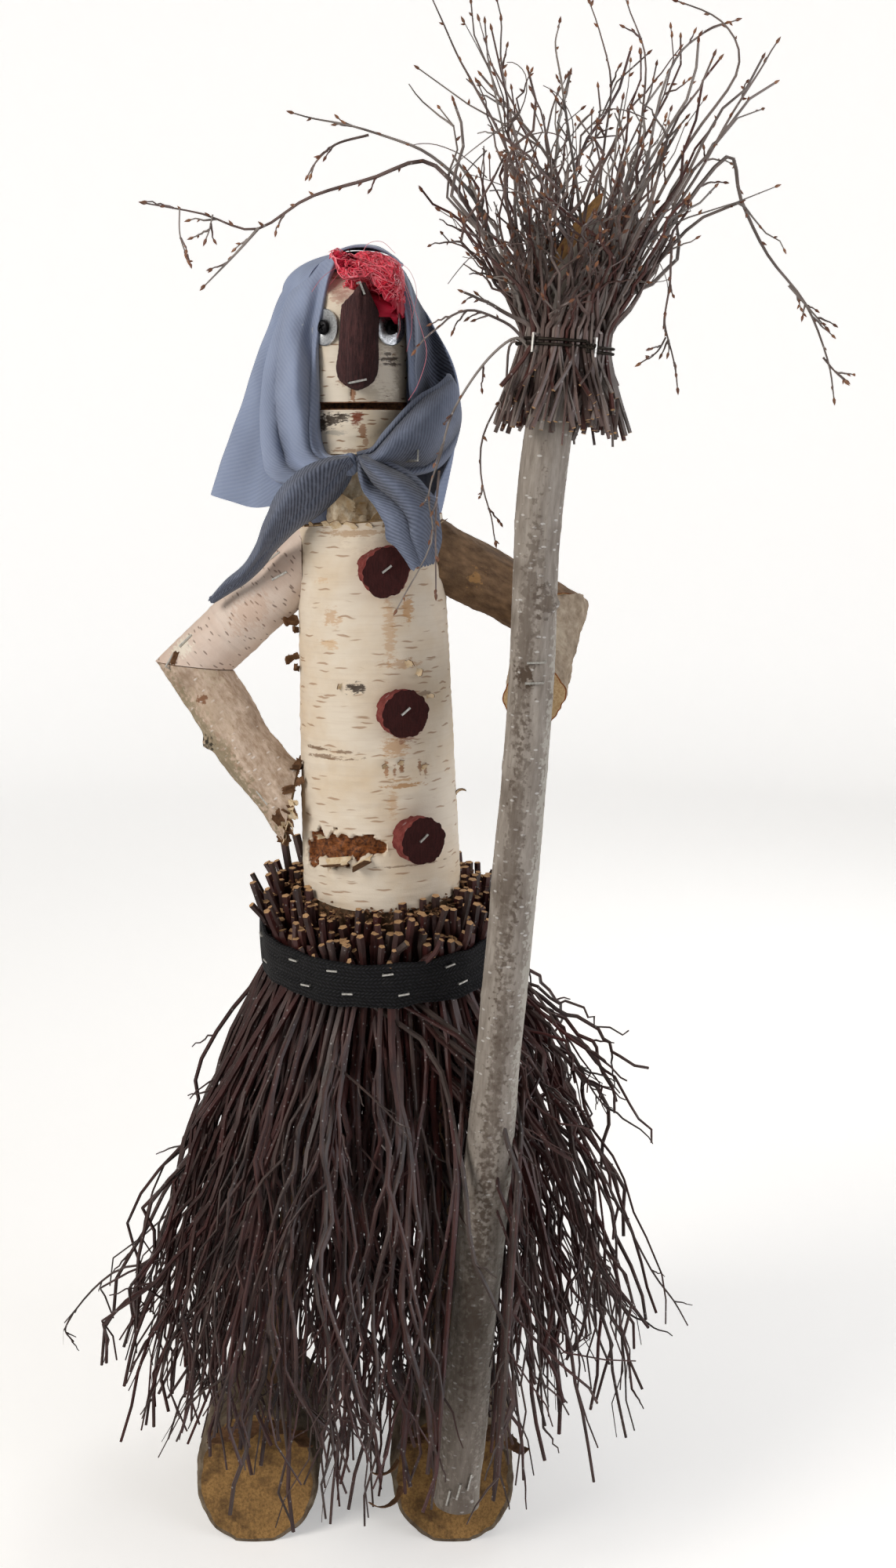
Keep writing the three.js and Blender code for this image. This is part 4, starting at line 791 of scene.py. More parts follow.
# Each finish has its maker and the values that the maker takes after the name
LONG_GRAIN = (1.3, 1.3, 8.0)
FINISHES = {
    "torso birch bark": (birch_bark, "bark d6bf9f 96683f", (23, 3.0), 0.62, TORSO_SPOTS, "9a5a28 3a1d0e"),
    "head birch bark": (birch_bark, "e6dccb cfb996 8a6442", (15, 2.6), 0.85, HEAD_SPOTS, "8a5a34 452a1a"),
    "arm birch bark": (birch_bark, "e0cfc2 c6a692 6c5042", (8.5, 2.6), 0.72, ARM_SPOTS),
    "forearm birch bark": (rough_bark, "d6c2b0 aa917a 745b46", (3, 3, 6), 1.3, 0.7, FOREARM_SPOTS),
    "neck birch bark": (rough_bark, "f4e8d2 c9b08a 6e563a", (4, 4, 4), 2.2),
    "grown grey bark": (rough_bark, "8b6e52 5d4836 3c2e22", (4, 4, 9), 1.6, 0.0, GREY_SPOTS),
    "pale grey bark": (rough_bark, "b8a792 8f7d68 5e4f3e", (4, 4, 9), 1.4, 0.0, PALE_SPOTS),
    "peeled handle bark": (rough_bark, "a59d94 847b72 62574d", (3.5, 3.5, 20), 0.8, 0.7, HANDLE_SPOTS),
    "shoe bark": (rough_bark, "5c4c3c 8a7c68 2f241b", (6, 6, 9), 2.2),
    "red branch bark": (rough_bark, "button 84433d 421a1b", (3, 3, 5), 0.7, 0.3),
    "split dark bark": (rough_bark, "573636 2d1e20 1a1112", (1.2, 1.2, 9), 2.4),
    "inner bast": (rough_bark, "a5683a 7a4524 4b2a18", (2, 2, 5), 0.8),
    "beech dowel": (rough_bark, "cfae80 c09a68 a9834f", (1, 1, 9), 0.2),
    "white birch curl": (rough_bark, "e2d3b8 c7aa80 93744f", (5, 5, 5), 0.5),
    "brown birch curl": (rough_bark, "7e5c40 553a26 302015", (3, 3, 3), 0.6),
    "fresh sawn birch": (sawn_face, "d8bd92 a67a4a"),
    "stained end grain": (sawn_face, "401c1b 1e0d0d", 1.6, (0.8, 5.0, 0.8)),
    "weathered toe face": (sawn_face, "a8824f 4a3828", 12.0, LONG_GRAIN, 0.9),
    "slanted handle tip": (sawn_face, "a27a4a 4c3a28", 12.0, LONG_GRAIN, 0.8),
    "cut shoot end": (sawn_face, "c8a278 876242", 1.2),
    "plum shoot bark": (twig_bark, "shoot 4a3e3a 190f0f", 0.36),
    "grey shoot bark": (twig_bark, "54302b 8e8680 2a1f1d", 0.36),
    "birch bud": (twig_bark, "6e4230 94684a 452a1e", 0.45),
    "cotton twill": (twill_cloth, "cloth 1e1b20"),
    "woven webbing": (belt_webbing, "webbing 25262b"),
    "dyed sisal": (dyed_fibre, "hair ff4560"),
    "matted sisal": (dyed_fibre, "ee3450 c4223e"),
    "zinc-plated washer": (metal, "d8dbdd 8f9498", 0.24),
    "blackened screw": (metal, "2a2a2c 19191b", 0.42),
    "galvanised staple wire": (metal, "d2d1cc 9c9a95", 0.34),
    "annealed binding wire": (metal, "3a3530 241f1c", 0.5),
}


def finish(name):
    """The finish of that name, mixed when it is first asked for."""
    if name not in bpy.data.materials:
        maker, *values = FINISHES[name]
        maker(name, *values)
    return bpy.data.materials[name]


# Logs
MOUTH_HEIGHT, MOUTH_WIDTH, MOUTH_DEPTH = 29.0, 3.6, 18.0
BROW_LEVEL = 118.5
CROWN_LEVEL = 101.0
TORN_PATCHES = ((-58, 26, 8, 9), (-48, 33, 11, 8.5), (-31, 31, 14, 11), (-13, 33, 14, 7.5), (1, 32, 7, 5))
DEGREE = pi / 180


def unrolled(turns, heights, radius):
    """Points of a log's bark laid flat, in millimetres."""
    return np.stack([turns * DEGREE * radius + 0 * heights, heights, 0 * heights], -1)


def way_out(turn):
    """The level direction out of a log at a turn in degrees from the front."""
    return sin(turn * DEGREE), -cos(turn * DEGREE), 0


def torso_relief(turns, heights):
    """Torn patch, knot and scars of the torso, in millimetres out of its surface."""
    place = unrolled(turns, heights, 50)
    inside = -9.0 * np.ones_like(heights)
    for turn, height, half_turn, half_height in TORN_PATCHES:
        reach = ((turns - turn) / half_turn) ** 2 + ((heights - height) / half_height) ** 2
        inside = np.maximum(inside, 1 - np.sqrt(reach))
    inside = inside + 0.35 * rough(place, 3.4) + 0.2 * rough(place + 9, 1.6)
    torn = 1 / (1 + np.exp(-inside * 16))
    lip = hump(inside, -0.12, 0.16)
    knot = hump(turns, -12, 8) * hump(heights, 133, 5)
    pit = hump(turns, -12, 4) * hump(heights, 133, 2.2)
    band = hump(heights, 92 + 1.5 * rough(place, 9), 1.8) * hump(turns, -42, 20)
    lower = hump(heights, 71 + rough(place, 6), 1.6) * hump(turns, 21, 13)
    change = -4.2 * torn + 2.0 * torn * rough(place, 3.6) + 0.9 * lip + 1.4 * knot - 2.2 * pit
    change = change - 0.8 * band - 0.6 * lower + 0.25 * rough(place * (0.12, 1, 1), 3.0)
    return change, torn


def head_relief(turns, heights):
    """Flaking bark of the head and the raw wood inside the mouth's saw cut."""
    place = unrolled(turns, heights, 29)
    kerf = np.abs(heights - MOUTH_HEIGHT) < MOUTH_WIDTH / 2 + 0.01
    crack = hump(turns, -7 + 5 * rough(place, 6), 2.2) * hump(heights, 37, 8)
    change = 0.5 * rough(place * (0.2, 1, 1), 4) - 0.9 * crack
    return change, np.where(kerf, 1.0, crack * 0.6)


def flake_relief(depth, size):
    """A relief of flaking plates for rough bark."""

    def relief(turns, heights):
        around = turns * DEGREE + 0 * heights
        place = np.stack([np.sin(around) * 20, np.cos(around) * 20, heights], -1)
        plates = np.tanh(3 * rough(place * (1, 1, 0.55), size)) + 0.5 * rough(place, size / 3)
        return depth * plates, 0 * plates

    return relief


def make_torso():
    """The torso log, seated on the waist's slope."""
    cuts = (
        (WAIST + WAIST_NORMAL * SEAT_GAP, -WAIST_NORMAL),
        (TORSO_TOP, Vector((-sin(TORSO_TOP_SLOPE), 0, cos(TORSO_TOP_SLOPE)))),
    )
    looks = ("torso birch bark", "fresh sawn birch", "inner bast")
    form = {"shares": np.linspace(0, 1, 210), "relief": torso_relief}
    piece = log_piece("torso_birch", WAIST, TORSO_TOP, TORSO_RADII, looks, cuts, sides=300, **form)
    settle(piece, "birch_bark", "torso_log")


def make_head():
    """The head log with its mouth, its bevelled brow and crown, and the neck under it."""
    low, high = MOUTH_HEIGHT - MOUTH_WIDTH / 2, MOUTH_HEIGHT + MOUTH_WIDTH / 2
    length = HEAD_TOP - HEAD_BOTTOM
    levels = [np.linspace(0, low, 24), [low], np.linspace(low, high, 4)[1:-1], [high]]
    heights = np.concatenate([*levels, np.linspace(high, length, 66)])
    slot = range(24, 28)

    def reshape(body):
        inside = body[slot.start : slot.stop]
        inside[..., 1] = np.maximum(inside[..., 1], MOUTH_DEPTH - HEAD_RADIUS)
        height = body[..., 2]
        narrow = 1 - np.maximum(0, height - CROWN_LEVEL) / HEAD_RADIUS
        body[..., :2] *= narrow[..., None]
        body[..., 1] = np.maximum(body[..., 1], height - BROW_LEVEL)
        return body

    foot = Vector((HEAD_X, 0, HEAD_BOTTOM))
    looks = ("head birch bark", "fresh sawn birch", "inner bast")
    radii = (HEAD_RADIUS, HEAD_RADIUS)
    form = {"shares": heights / length, "relief": head_relief, "reshape": reshape}
    piece = log_piece("head_birch", foot, foot + UP * length, radii, looks, sides=180, grain=0.7, **form)
    settle(piece, "birch_bark", "head_log")
    base, top = Vector((NECK_X, 0, NECK_FOOT)), Vector((NECK_X, 0, HEAD_BOTTOM - SEAT_GAP))
    looks = ("neck birch bark", "fresh sawn birch", "inner bast")
    piece = log_piece("neck_birch", base, top, NECK_RADII, looks, sides=96, relief=flake_relief(1.3, 5))
    settle(piece, "neck_bark", "neck_log")


NECK_X, NECK_FOOT, NECK_RADII = -11.0, 636.0, (18.7, 17.8)
ARM_RADII = ((20.5, 19.2), (19.0, 18.5))
ARM_IN_TORSO, MITRE_GAP = 4.0, 0.25


def forearm_relief(turns, heights):
    """Flaking bark of the right forearm, the black knot on its outer side and the collar at the hand."""
    change, torn = flake_relief(0.7, 8)(turns, heights)
    knot = hump(turns, 78, 15) * hump(heights, 46, 4.5)
    collar = hump(heights, 96, 9) * hump(turns, -75, 38)
    return change + 4.6 * knot + 2.6 * collar, torn


def bowed(body):
    """Bends the right forearm a little outwards over its lower half."""
    body[..., 0] += 2.4 * hump(body[..., 2], 62, 26)
    return body


def make_arms():
    """Two arms, each of two logs that are sawn to a mitre at the elbow."""
    hand_normal = Vector((cos(HAND_CUT_LEAN), 0, -sin(HAND_CUT_LEAN)))
    grip = (FRONT - HANDLE_AXIS * HANDLE_AXIS.dot(FRONT)).normalized()
    arms = (
        (
            "right", RIGHT_SHOULDER, RIGHT_ELBOW, RIGHT_HAND, Vector((1, 0, 0)), hand_normal,
            ("arm birch bark", "forearm birch bark"), "birch_bark",
        ),
        (
            "left", LEFT_SHOULDER, LEFT_ELBOW, LEFT_HAND, Vector((-1, 0, 0)), grip,
            ("grown grey bark", "pale grey bark"), "grey_bark",
        ),
    )
    for side, shoulder, elbow, hand, inward, end, barks, slot in arms:
        mitre = ((elbow - shoulder).normalized() + (hand - elbow).normalized()).normalized()
        reliefs = (None, forearm_relief) if side == "right" else (flake_relief(0.9, 8), flake_relief(1.1, 8))
        upper_cuts = ((shoulder + inward * ARM_IN_TORSO, inward), (elbow - mitre * MITRE_GAP, mitre))
        lower_cuts = ((elbow + mitre * MITRE_GAP, -mitre), (hand, end))
        parts = (
            ("upper_arm", shoulder, elbow, upper_cuts, None),
            ("forearm", elbow, hand, lower_cuts, bowed if side == "right" else None),
        )
        for (name, foot, tip, cuts, reshape), radii, bark, relief in zip(parts, ARM_RADII, barks, reliefs):
            looks, form = (bark, "fresh sawn birch", "inner bast"), {"relief": relief, "reshape": reshape}
            piece = log_piece(f"{name}_{side}_wood", foot, tip, radii, looks, cuts, **form)
            settle(piece, slot, f"{name}_{side}")


def make_shoes():
    """Two short logs that lie on their flattened side, the toe sawn off at a slope."""
    for side, x in SHOES_X.items():
        heel, toe = Vector((x, SHOE_HEEL, SHOE_SOLE)), Vector((x, -SHOE_TOE, SHOE_SOLE))
        cut = (Vector((x, -SHOE_TOE, 0)), Vector((0, -cos(TOE_LEAN), sin(TOE_LEAN))))

        def reshape(body):
            worn = rough(body[-3:] + x, 7)
            body[-1, :, :2] *= (0.955 + 0.03 * worn[-1])[:, None]
            body[-2, :, :2] *= (0.985 + 0.015 * worn[-2])[:, None]
            body[..., 1] = np.minimum(body[..., 1], SHOE_SOLE - 0.05)
            return body

        looks = ("shoe bark", "weathered toe face", "shoe bark")
        radii, form = (SHOE_RADIUS, SHOE_RADIUS + 0.6), {"relief": flake_relief(1.0, 9), "reshape": reshape}
        piece = log_piece(f"shoe_{side}_wood", heel, toe, radii, looks, (None, cut), UP, sides=160, **form)
        settle(piece, "dark_bark", f"shoe_{side}")


HANDLE_BOW, HANDLE_BOW_HEIGHT, HANDLE_KNOT = 6.0, 640.0, 612.0
HANDLE_SLANT, HANDLE_TIP_CUT = radians(55), 19.0


def make_handle():
    """The broom's handle, a nearly straight branch with a knot, its tip sawn at a slant."""
    knot_height = (HANDLE_KNOT - HANDLE_FOOT.z) / HANDLE_AXIS.z

    def relief(turns, heights):
        place = unrolled(turns, heights, 14)
        stub = hump(turns, 49, 17) * hump(heights, knot_height, 4.2)
        wound = hump(turns, -30, 14) * hump(heights, 541, 5)
        rings = hump((heights + 30 * rough(place * 0 + (7, 1, 3), 5)) % 143, 70, 3)
        ridges = rough(place * (1, 0.08, 1), 2.4)
        stapled = 1.3 * hump(heights, 16, 17)
        change = 5.2 * stub - 0.6 * wound - stapled + 0.35 * rings + 0.25 * ridges
        return change + 0.7 * rough(place * (0, 1, 0), 60), 0 * heights

    def reshape(body):
        body[..., 0] -= HANDLE_BOW * hump(body[..., 2], HANDLE_BOW_HEIGHT, 85)
        return body

    tip = Vector((-0.95 * sin(HANDLE_SLANT), -0.3, cos(HANDLE_SLANT))).normalized()
    looks = ("peeled handle bark", "slanted handle tip", "inner bast")
    cuts = ((HANDLE_FOOT, -HANDLE_AXIS), (HANDLE_HEAD - HANDLE_AXIS * HANDLE_TIP_CUT, tip))
    form = {"sides": 96, "shares": np.linspace(0, 1, 420), "relief": relief, "reshape": reshape, "grain": 0.6}
    piece = log_piece("broom_handle_wood", HANDLE_FOOT, HANDLE_HEAD, HANDLE_RADII, looks, cuts, **form)
    settle(piece, "handle_bark", "broom_handle")


# Face and buttons
BUTTONS = (("top", 205.0, 11.0), ("middle", 118.0, 19.0), ("bottom", 38.0, 27.0))
BUTTON_RADIUS, BUTTON_PROUD, BUTTON_SUNK = 15.0, 13.0, 3.0
WASHER = ((2.7, 0.0), (10.6, 0.0), (11.0, 0.3), (11.0, 1.2), (10.5, 1.6), (3.2, 1.6), (2.7, 1.3), (2.7, 0.0))
SCREW = ((0.05, 0.2), (3.9, 0.2), (4.4, 0.6), (4.35, 1.1), (3.9, 1.9), (2.9, 2.4), (1.5, 2.65), (0.05, 2.7))


def make_buttons():
    """Three slices of a red branch, sawn both sides."""
    for name, height, turn in BUTTONS:
        radius = TORSO_RADII[0] + (TORSO_RADII[1] - TORSO_RADII[0]) * height / TORSO_LENGTH
        out = Vector(way_out(turn))
        centre = WAIST + TORSO_AXIS * height
        looks = ("red branch bark", "stained end grain")
        foot, tip = centre + out * (radius - BUTTON_SUNK), centre + out * (radius + BUTTON_PROUD)
        radii = (BUTTON_RADIUS, BUTTON_RADIUS - 0.4)
        form = {"sides": 96, "shares": np.linspace(0, 1, 22), "relief": flake_relief(0.55, 3.2), "grain": 2.6}
        piece = log_piece(f"button_{name}_slice", foot, tip, radii, looks, front=UP, **form)
        settle(piece, "red_bark", f"button_{name}")


SCREW_SLOT, SCREW_SLOT_FLOOR, SCREW_TURN = (2.4, 0.55), 0.9, 0.5
EYE_TURN, WASHER_SUNK, SCREW_RISE = 41, 0.8, 1.5


def facing(centre, out):
    """A frame at a point of the frame in metres whose z looks along out."""
    side = UP.cross(out).normalized()
    turned = Matrix((side, out.cross(side), out)).transposed().to_4x4()
    return Matrix.Translation(centre) @ turned


def make_face():
    """Washers and screws for eyes and a split branch for the nose."""
    for side, turn in (("left", EYE_TURN), ("right", -EYE_TURN)):
        out = Vector(way_out(turn))
        low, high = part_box(f"eye_washer_{side}")
        back = (low + high) / 2 - out * WASHER_SUNK * MM
        washer = lathe(f"eye_washer_{side}_zinc", WASHER, ("zinc-plated washer",), facing(back, out))
        settle(washer, "zinc_steel", f"eye_washer_{side}")
        head = facing(back + out * SCREW_RISE * MM, out)
        screw = lathe(f"eye_screw_{side}_black", SCREW, ("blackened screw",), head)
        tools = []
        for number, (half_x, half_y) in enumerate((SCREW_SLOT, SCREW_SLOT[::-1])):
            around = ((-1, -1), (1, -1), (1, 1), (-1, 1))
            corners = [(x * half_x, y * half_y, z) for z in (SCREW_SLOT_FLOOR, 4) for x, y in around]
            walls = [[k, (k + 1) % 4, (k + 1) % 4 + 4, k + 4] for k in range(4)]
            faces = [[3, 2, 1, 0], [4, 5, 6, 7], *walls]
            turned = head @ Matrix.Rotation(SCREW_TURN, 4, "Z")
            tools.append(build(f"slot_tool_{side}_{number}", corners, faces, [], turned))
        cut_away(screw, *tools)
        settle(screw, "black_screw", f"eye_screw_{side}")

    def fibres(points):
        split = 0.7 * rough(points * (1, 0.6, 0.12), 2.2)
        return split + 0.5 * rough(points * (1, 1, 0.3), 5) + 0.2 * rough(points, 0.9)

    nose = roughened_copy("nose", "nose_branch", ("split dark bark",), 0.7, fibres)
    settle(nose, "dark_bark", "nose")


# Twigs
def fork(path, radii, start, side, stretch=1.0):
    """A side shoot that leaves a twig's path at a point and drifts off to a side."""
    part = path[start:]
    share = np.linspace(0, 1, len(part))[:, None]
    moved = part + share**1.15 * side
    moved = moved[0] + (moved - moved[0]) * stretch
    return moved, radii[start:] * np.linspace(0.8, 0.55, len(part))


def sprout(bag, draw, path, start, length, thick, tint, lean, sag):
    """A short shoot that leaves a twig at a slant, kinks at its buds and sags or rises at the end."""
    heading = unit(path[min(start + 1, len(path) - 1)] - path[max(start - 1, 0)])
    side = unit(np.cross(heading, jitter(draw, 1, 1, 1)))
    steps = np.linspace(0, 1, 7)[:, None]
    shoot = path[start] + length * (steps * unit(heading + lean * side) + steps**2 * np.array([0, 0, sag]))
    kinks = np.array([jitter(draw, 1, 1, 1) for _ in range(7)]) * length * 0.022
    kinks[0] = 0
    shoot = shoot + kinks
    bag.add(shoot, thick * np.linspace(1, 0.5, 7), tint)
    return shoot


def wavy(path, draw, size, kink=0.0):
    """The path with a slow sideways wander that grows from its start, and a small kink at every point."""
    share = np.linspace(0, 1, len(path))[:, None]
    for turns in (1.1, 2.3, 4.2):
        sway = jitter(draw, 1, 1, 0.4)
        phase = turns * share * 2 * np.pi * draw.uniform(0.7, 1.2) + draw.uniform(0, 1)
        path = path + sway * size / turns * share**0.7 * np.sin(phase)
    kinks = np.array([jitter(draw, 1, 1, 1) for _ in path])
    return path + kinks * kink * np.minimum(1, 3 * share)


def buds_along(bag, path, draw, spacing, size):
    """Buds that sit by turns on either side of a shoot, and one at its tip."""
    run = steps_to(path)
    place = spacing * draw.uniform(0.4, 1.0)
    while place < run[-1]:
        point = np.array([np.interp(place, run, path[:, a]) for a in range(3)])
        ahead = np.array([np.interp(place + 1, run, path[:, a]) for a in range(3)])
        heading = unit(unit(ahead - point + 1e-6) + 0.9 * unit(jitter(draw, 1, 1, 1)))
        bag.bud(point, heading, size * draw.uniform(0.7, 1.2), draw.random())
        place += spacing * draw.uniform(0.6, 1.4)
    bag.bud(path[-1], unit(path[-1] - path[-2]), size * 1.2, draw.random())


def on_skirt(radius, turn, height):
    """A point round the waist in its tilted frame; turn is in radians from the front."""
    x, y = radius * np.sin(turn), -radius * np.cos(turn)
    c, s = cos(WAIST_TILT), sin(WAIST_TILT)
    return np.array([WAIST.x + x, y * c - height * s, WAIST.z + y * s + height * c])


SKIRT_ROWS = ((54.6, 68), (59.7, 75), (64.8, 82), (69.9, 87), (74.8, 92))
RING_BOTTOM = -54.0
HANDLE_ROOM = 18.5
SHOE_TOP = 79.0
SKIRT_REACH = -205.0


def beside_handle(path):
    """Moves the points of a twig sideways so that it passes the broom's handle."""
    share = (path[:, 2] - HANDLE_FOOT.z) / (HANDLE_HEAD.z - HANDLE_FOOT.z)
    middle = [HANDLE_FOOT[a] + share * (HANDLE_HEAD[a] - HANDLE_FOOT[a]) for a in (0, 1)]
    gap = path[:, 0] - middle[0]
    side = 1.0 if gap[-1] > 0 else -1.0
    level = np.clip((middle[1] + 30 - path[:, 1]) / 14, 0, 1)
    push = np.clip(HANDLE_ROOM - side * gap, 0, 2 * HANDLE_ROOM) * side * level
    return path + np.stack([push, 0 * push, 0 * push], -1)


def over_shoes(path):
    """Lifts a twig's points that would run into a shoe, and keeps it off the ground and within reach."""
    lift = path[:, 2].copy()
    for x in SHOES_X.values():
        over = (np.abs(path[:, 0] - x) < SHOE_RADIUS + 3) & (path[:, 1] < SHOE_HEEL + 6)
        slope = np.clip((-SHOE_TOE - path[:, 1]) / 16, 0, 1)
        lift = np.where(over & (slope < 1), np.maximum(lift, SHOE_TOP - (SHOE_TOP - 40) * slope), lift)
    return np.column_stack([np.maximum(path[:, 0], SKIRT_REACH), path[:, 1], np.maximum(lift, 2.5)])


def stands(draw, rows, wanted, wander):
    """Turn and radius at which each shoot of a bundle stands, from rows of radius and share."""
    total = sum(count for _, count in rows)
    for radius, listed in rows:
        count = round(listed * wanted / total)
        for k in range(count):
            yield 2 * pi * (k + draw.uniform(-0.4, 0.4)) / count, radius + draw.uniform(-wander, wander)


def make_skirt():
    """The bundle of birch shoots that stands round the hips and spreads to the ground."""
    own = settings()
    draw = random.Random(own.seed)
    between = draw.uniform
    bag = Strands(5)
    share = np.linspace(0, 1, 15)[1:]

    def lay(path, radii, tint, ends=(0, 0)):
        path = over_shoes(beside_handle(path))
        bag.add(path, radii, tint, ends)
        return path

    for turn, ring in stands(draw, SKIRT_ROWS, own.skirt_twigs, 2.2):
        outer = (ring - 53) / 23
        to_right = max(0.0, -sin(turn))
        tall = outer > 0.3 and draw.random() < (0.32 if 0.75 < to_right else 0.06)
        top = 1.5 - 13 * max(0, outer) ** 1.4 + between(-13, 7) + (between(5, 19) if tall else 0)
        splay = between(-1, 3) + (between(3, 12) if tall else 0)
        thick = draw.triangular(1.2, 2.8, 1.8)
        tint = min(1, max(0, draw.gauss(0.3, 0.3)))
        hem = min(186, max(50, 78 + 92 * outer + 14 * to_right + draw.gauss(0, 21)))
        away = turn + draw.gauss(0, 0.26)
        floor = draw.triangular(30, 160, 84)
        if sin(away) > 0.3 and draw.random() < 0.34:
            floor = between(140, 300)
        x, y = 3 + hem * sin(away), -hem * cos(away)
        if y < -55 and any(abs(x - shoe) < SHOE_RADIUS + 2 for shoe in SHOES_X.values()):
            floor = between(58, 118)
        sway = between(-0.05, 0.05)
        rows = zip((1, 0.5, 0, 0), (top, (top - 25) / 2, -26, RING_BOTTOM))
        stub = [on_skirt(ring + between(-0.8, 0.8) + splay * s, turn + sway * s, h) for s, h in rows]
        low = stub[-1]
        bearing = turn + (away - turn) * share
        spread = ring + (hem - ring) * (1 - (1 - share) ** between(1.15, 1.7))
        centre_y = (low[1] + ring * cos(turn)) * (1 - share)
        fall = low[2] + (floor - low[2]) * share
        flare = np.stack([3 + spread * np.sin(bearing), centre_y - spread * np.cos(bearing), fall], -1)
        flare = wavy(np.concatenate([[low], flare]), draw, 9.5, 1.5)[1:]
        radii = thick * np.concatenate([[1.25, 1.2, 1, 0.98], 0.95 - 0.42 * share])
        path = lay(np.concatenate([stub, flare]), radii, tint, (1, 0))
        for _ in range(draw.choice((0, 0, 1, 1, 2))):
            start = draw.randint(3, 12)
            across = np.array([cos(away), sin(away), 0]) * draw.choice((-1, 1)) * between(18, 75)
            outward = np.array([sin(away), -cos(away), 0]) * between(-22, 9)
            side = across + outward + np.array([0, 0, between(-8, 34)])
            shoot, thin = fork(path, radii, start, side * (18 - start) / 14)
            shoot = lay(wavy(shoot, draw, 5.0, 1.2), thin, min(1, tint + between(0, 0.3)))
            if len(shoot) > 5 and draw.random() < 0.35:
                twin, thinner = fork(shoot, thin, len(shoot) // 2, -0.5 * side)
                lay(wavy(twin, draw, 1.5, 0.8), thinner, tint)
        for _ in range(draw.choice((0, 1, 1, 2))):
            start = draw.randint(7, 17)
            sprout(
                bag, draw, path, start, between(12, 40), 0.85, min(1, tint + 0.3), between(0.4, 1.1),
                between(-0.35, 0.2),
            )
    for _ in range(LOW_SHOOTS):
        turn = between(-0.75, 0.75)
        away, hem = turn * between(0.5, 1.1), between(52, 92)
        top, end = on_skirt(between(62, 74), turn, RING_BOTTOM + 8), between(16, 62)
        foot = np.array([3 + hem * sin(away), -hem * cos(away), end])
        if any(abs(foot[0] - shoe) < SHOE_RADIUS + 2 for shoe in SHOES_X.values()):
            foot[2] += 50
        bend = np.array([between(-8, 8), between(-14, -4), 0])
        rows = ((0, 0), (0.3, 0.8), (0.65, 0.9), (1, 0))
        track = curve_through([top * (1 - s) + foot * s + bend * b for s, b in rows], 18)
        radii = between(1.0, 1.8) * np.linspace(1, 0.5, 18)
        path = lay(wavy(track, draw, 7.0, 1.3), radii, min(1, max(0, draw.gauss(0.25, 0.25))))
        for start in (9, 13):
            sprout(bag, draw, path, start, between(14, 40), 0.8, 0.6, between(0.4, 1.0), -0.3)
    for thick, track in strays_in(SKIRT_STRAYS):
        path = curve_through(track, 16)
        bag.add(path, np.linspace(thick, 0.5, 16), between(0.6, 1))
        for start in (6, 9, 12):
            sprout(bag, draw, path, start, between(8, 18), 0.6, 0.9, 0.7, 0)
    for points in bag.points:
        points[:, 0] = np.maximum(points[:, 0], SKIRT_REACH - 2)
    piece = bag.make("skirt_shoots", ("plum shoot bark", "cut shoot end", "birch bud"))
    settle(piece, "skirt_twig", "skirt_twigs")


LOW_SHOOTS = 34
SKIRT_STRAYS = """
    1.1: -108 -57 268, -120 -60 240, -142 -60 187, -168 -56 175, -186 -52 159, -200 -48 141,
        -207 -44 132;
    0.7: -200 -48 141, -206 -46 128, -201 -45 119;
    1.0: 126 -47 276, 140 -50 250, 158 -40 211, 180 -37 166, 196 -33 142, 206 -30 123;
    1.2: 71 -30 392, 88 -35 372, 111 -30 341, 132 -27 303, 148 -23 295, 159 -20 282;
    0.8: 132 -27 303, 141 -25 285, 152 -22 270;
    0.9: -26 -82 324, -13 -88 315, 7 -102 301, 24 -107 282
"""
BROOM_ROWS = ((16.4, 34), (19.3, 40), (22.2, 46), (25.2, 54))
BROOM_RADIUS = 27.0
BROOM_REACH = 280.0
BROOM_BUTTS, BROOM_TENDRILS = 46, 26


def on_broom(radius, turn, height):
    """A point round the handle at a height along it from the binding wire."""
    share = (WIRE_HEIGHT - HANDLE_FOOT.z) / (HANDLE_HEAD.z - HANDLE_FOOT.z)
    centre = HANDLE_FOOT.lerp(HANDLE_HEAD, share) + HANDLE_AXIS * height
    side = HANDLE_AXIS.cross(FRONT).normalized()
    front = side.cross(HANDLE_AXIS)
    return np.array(centre + (front * cos(turn) + side * sin(turn)) * radius)


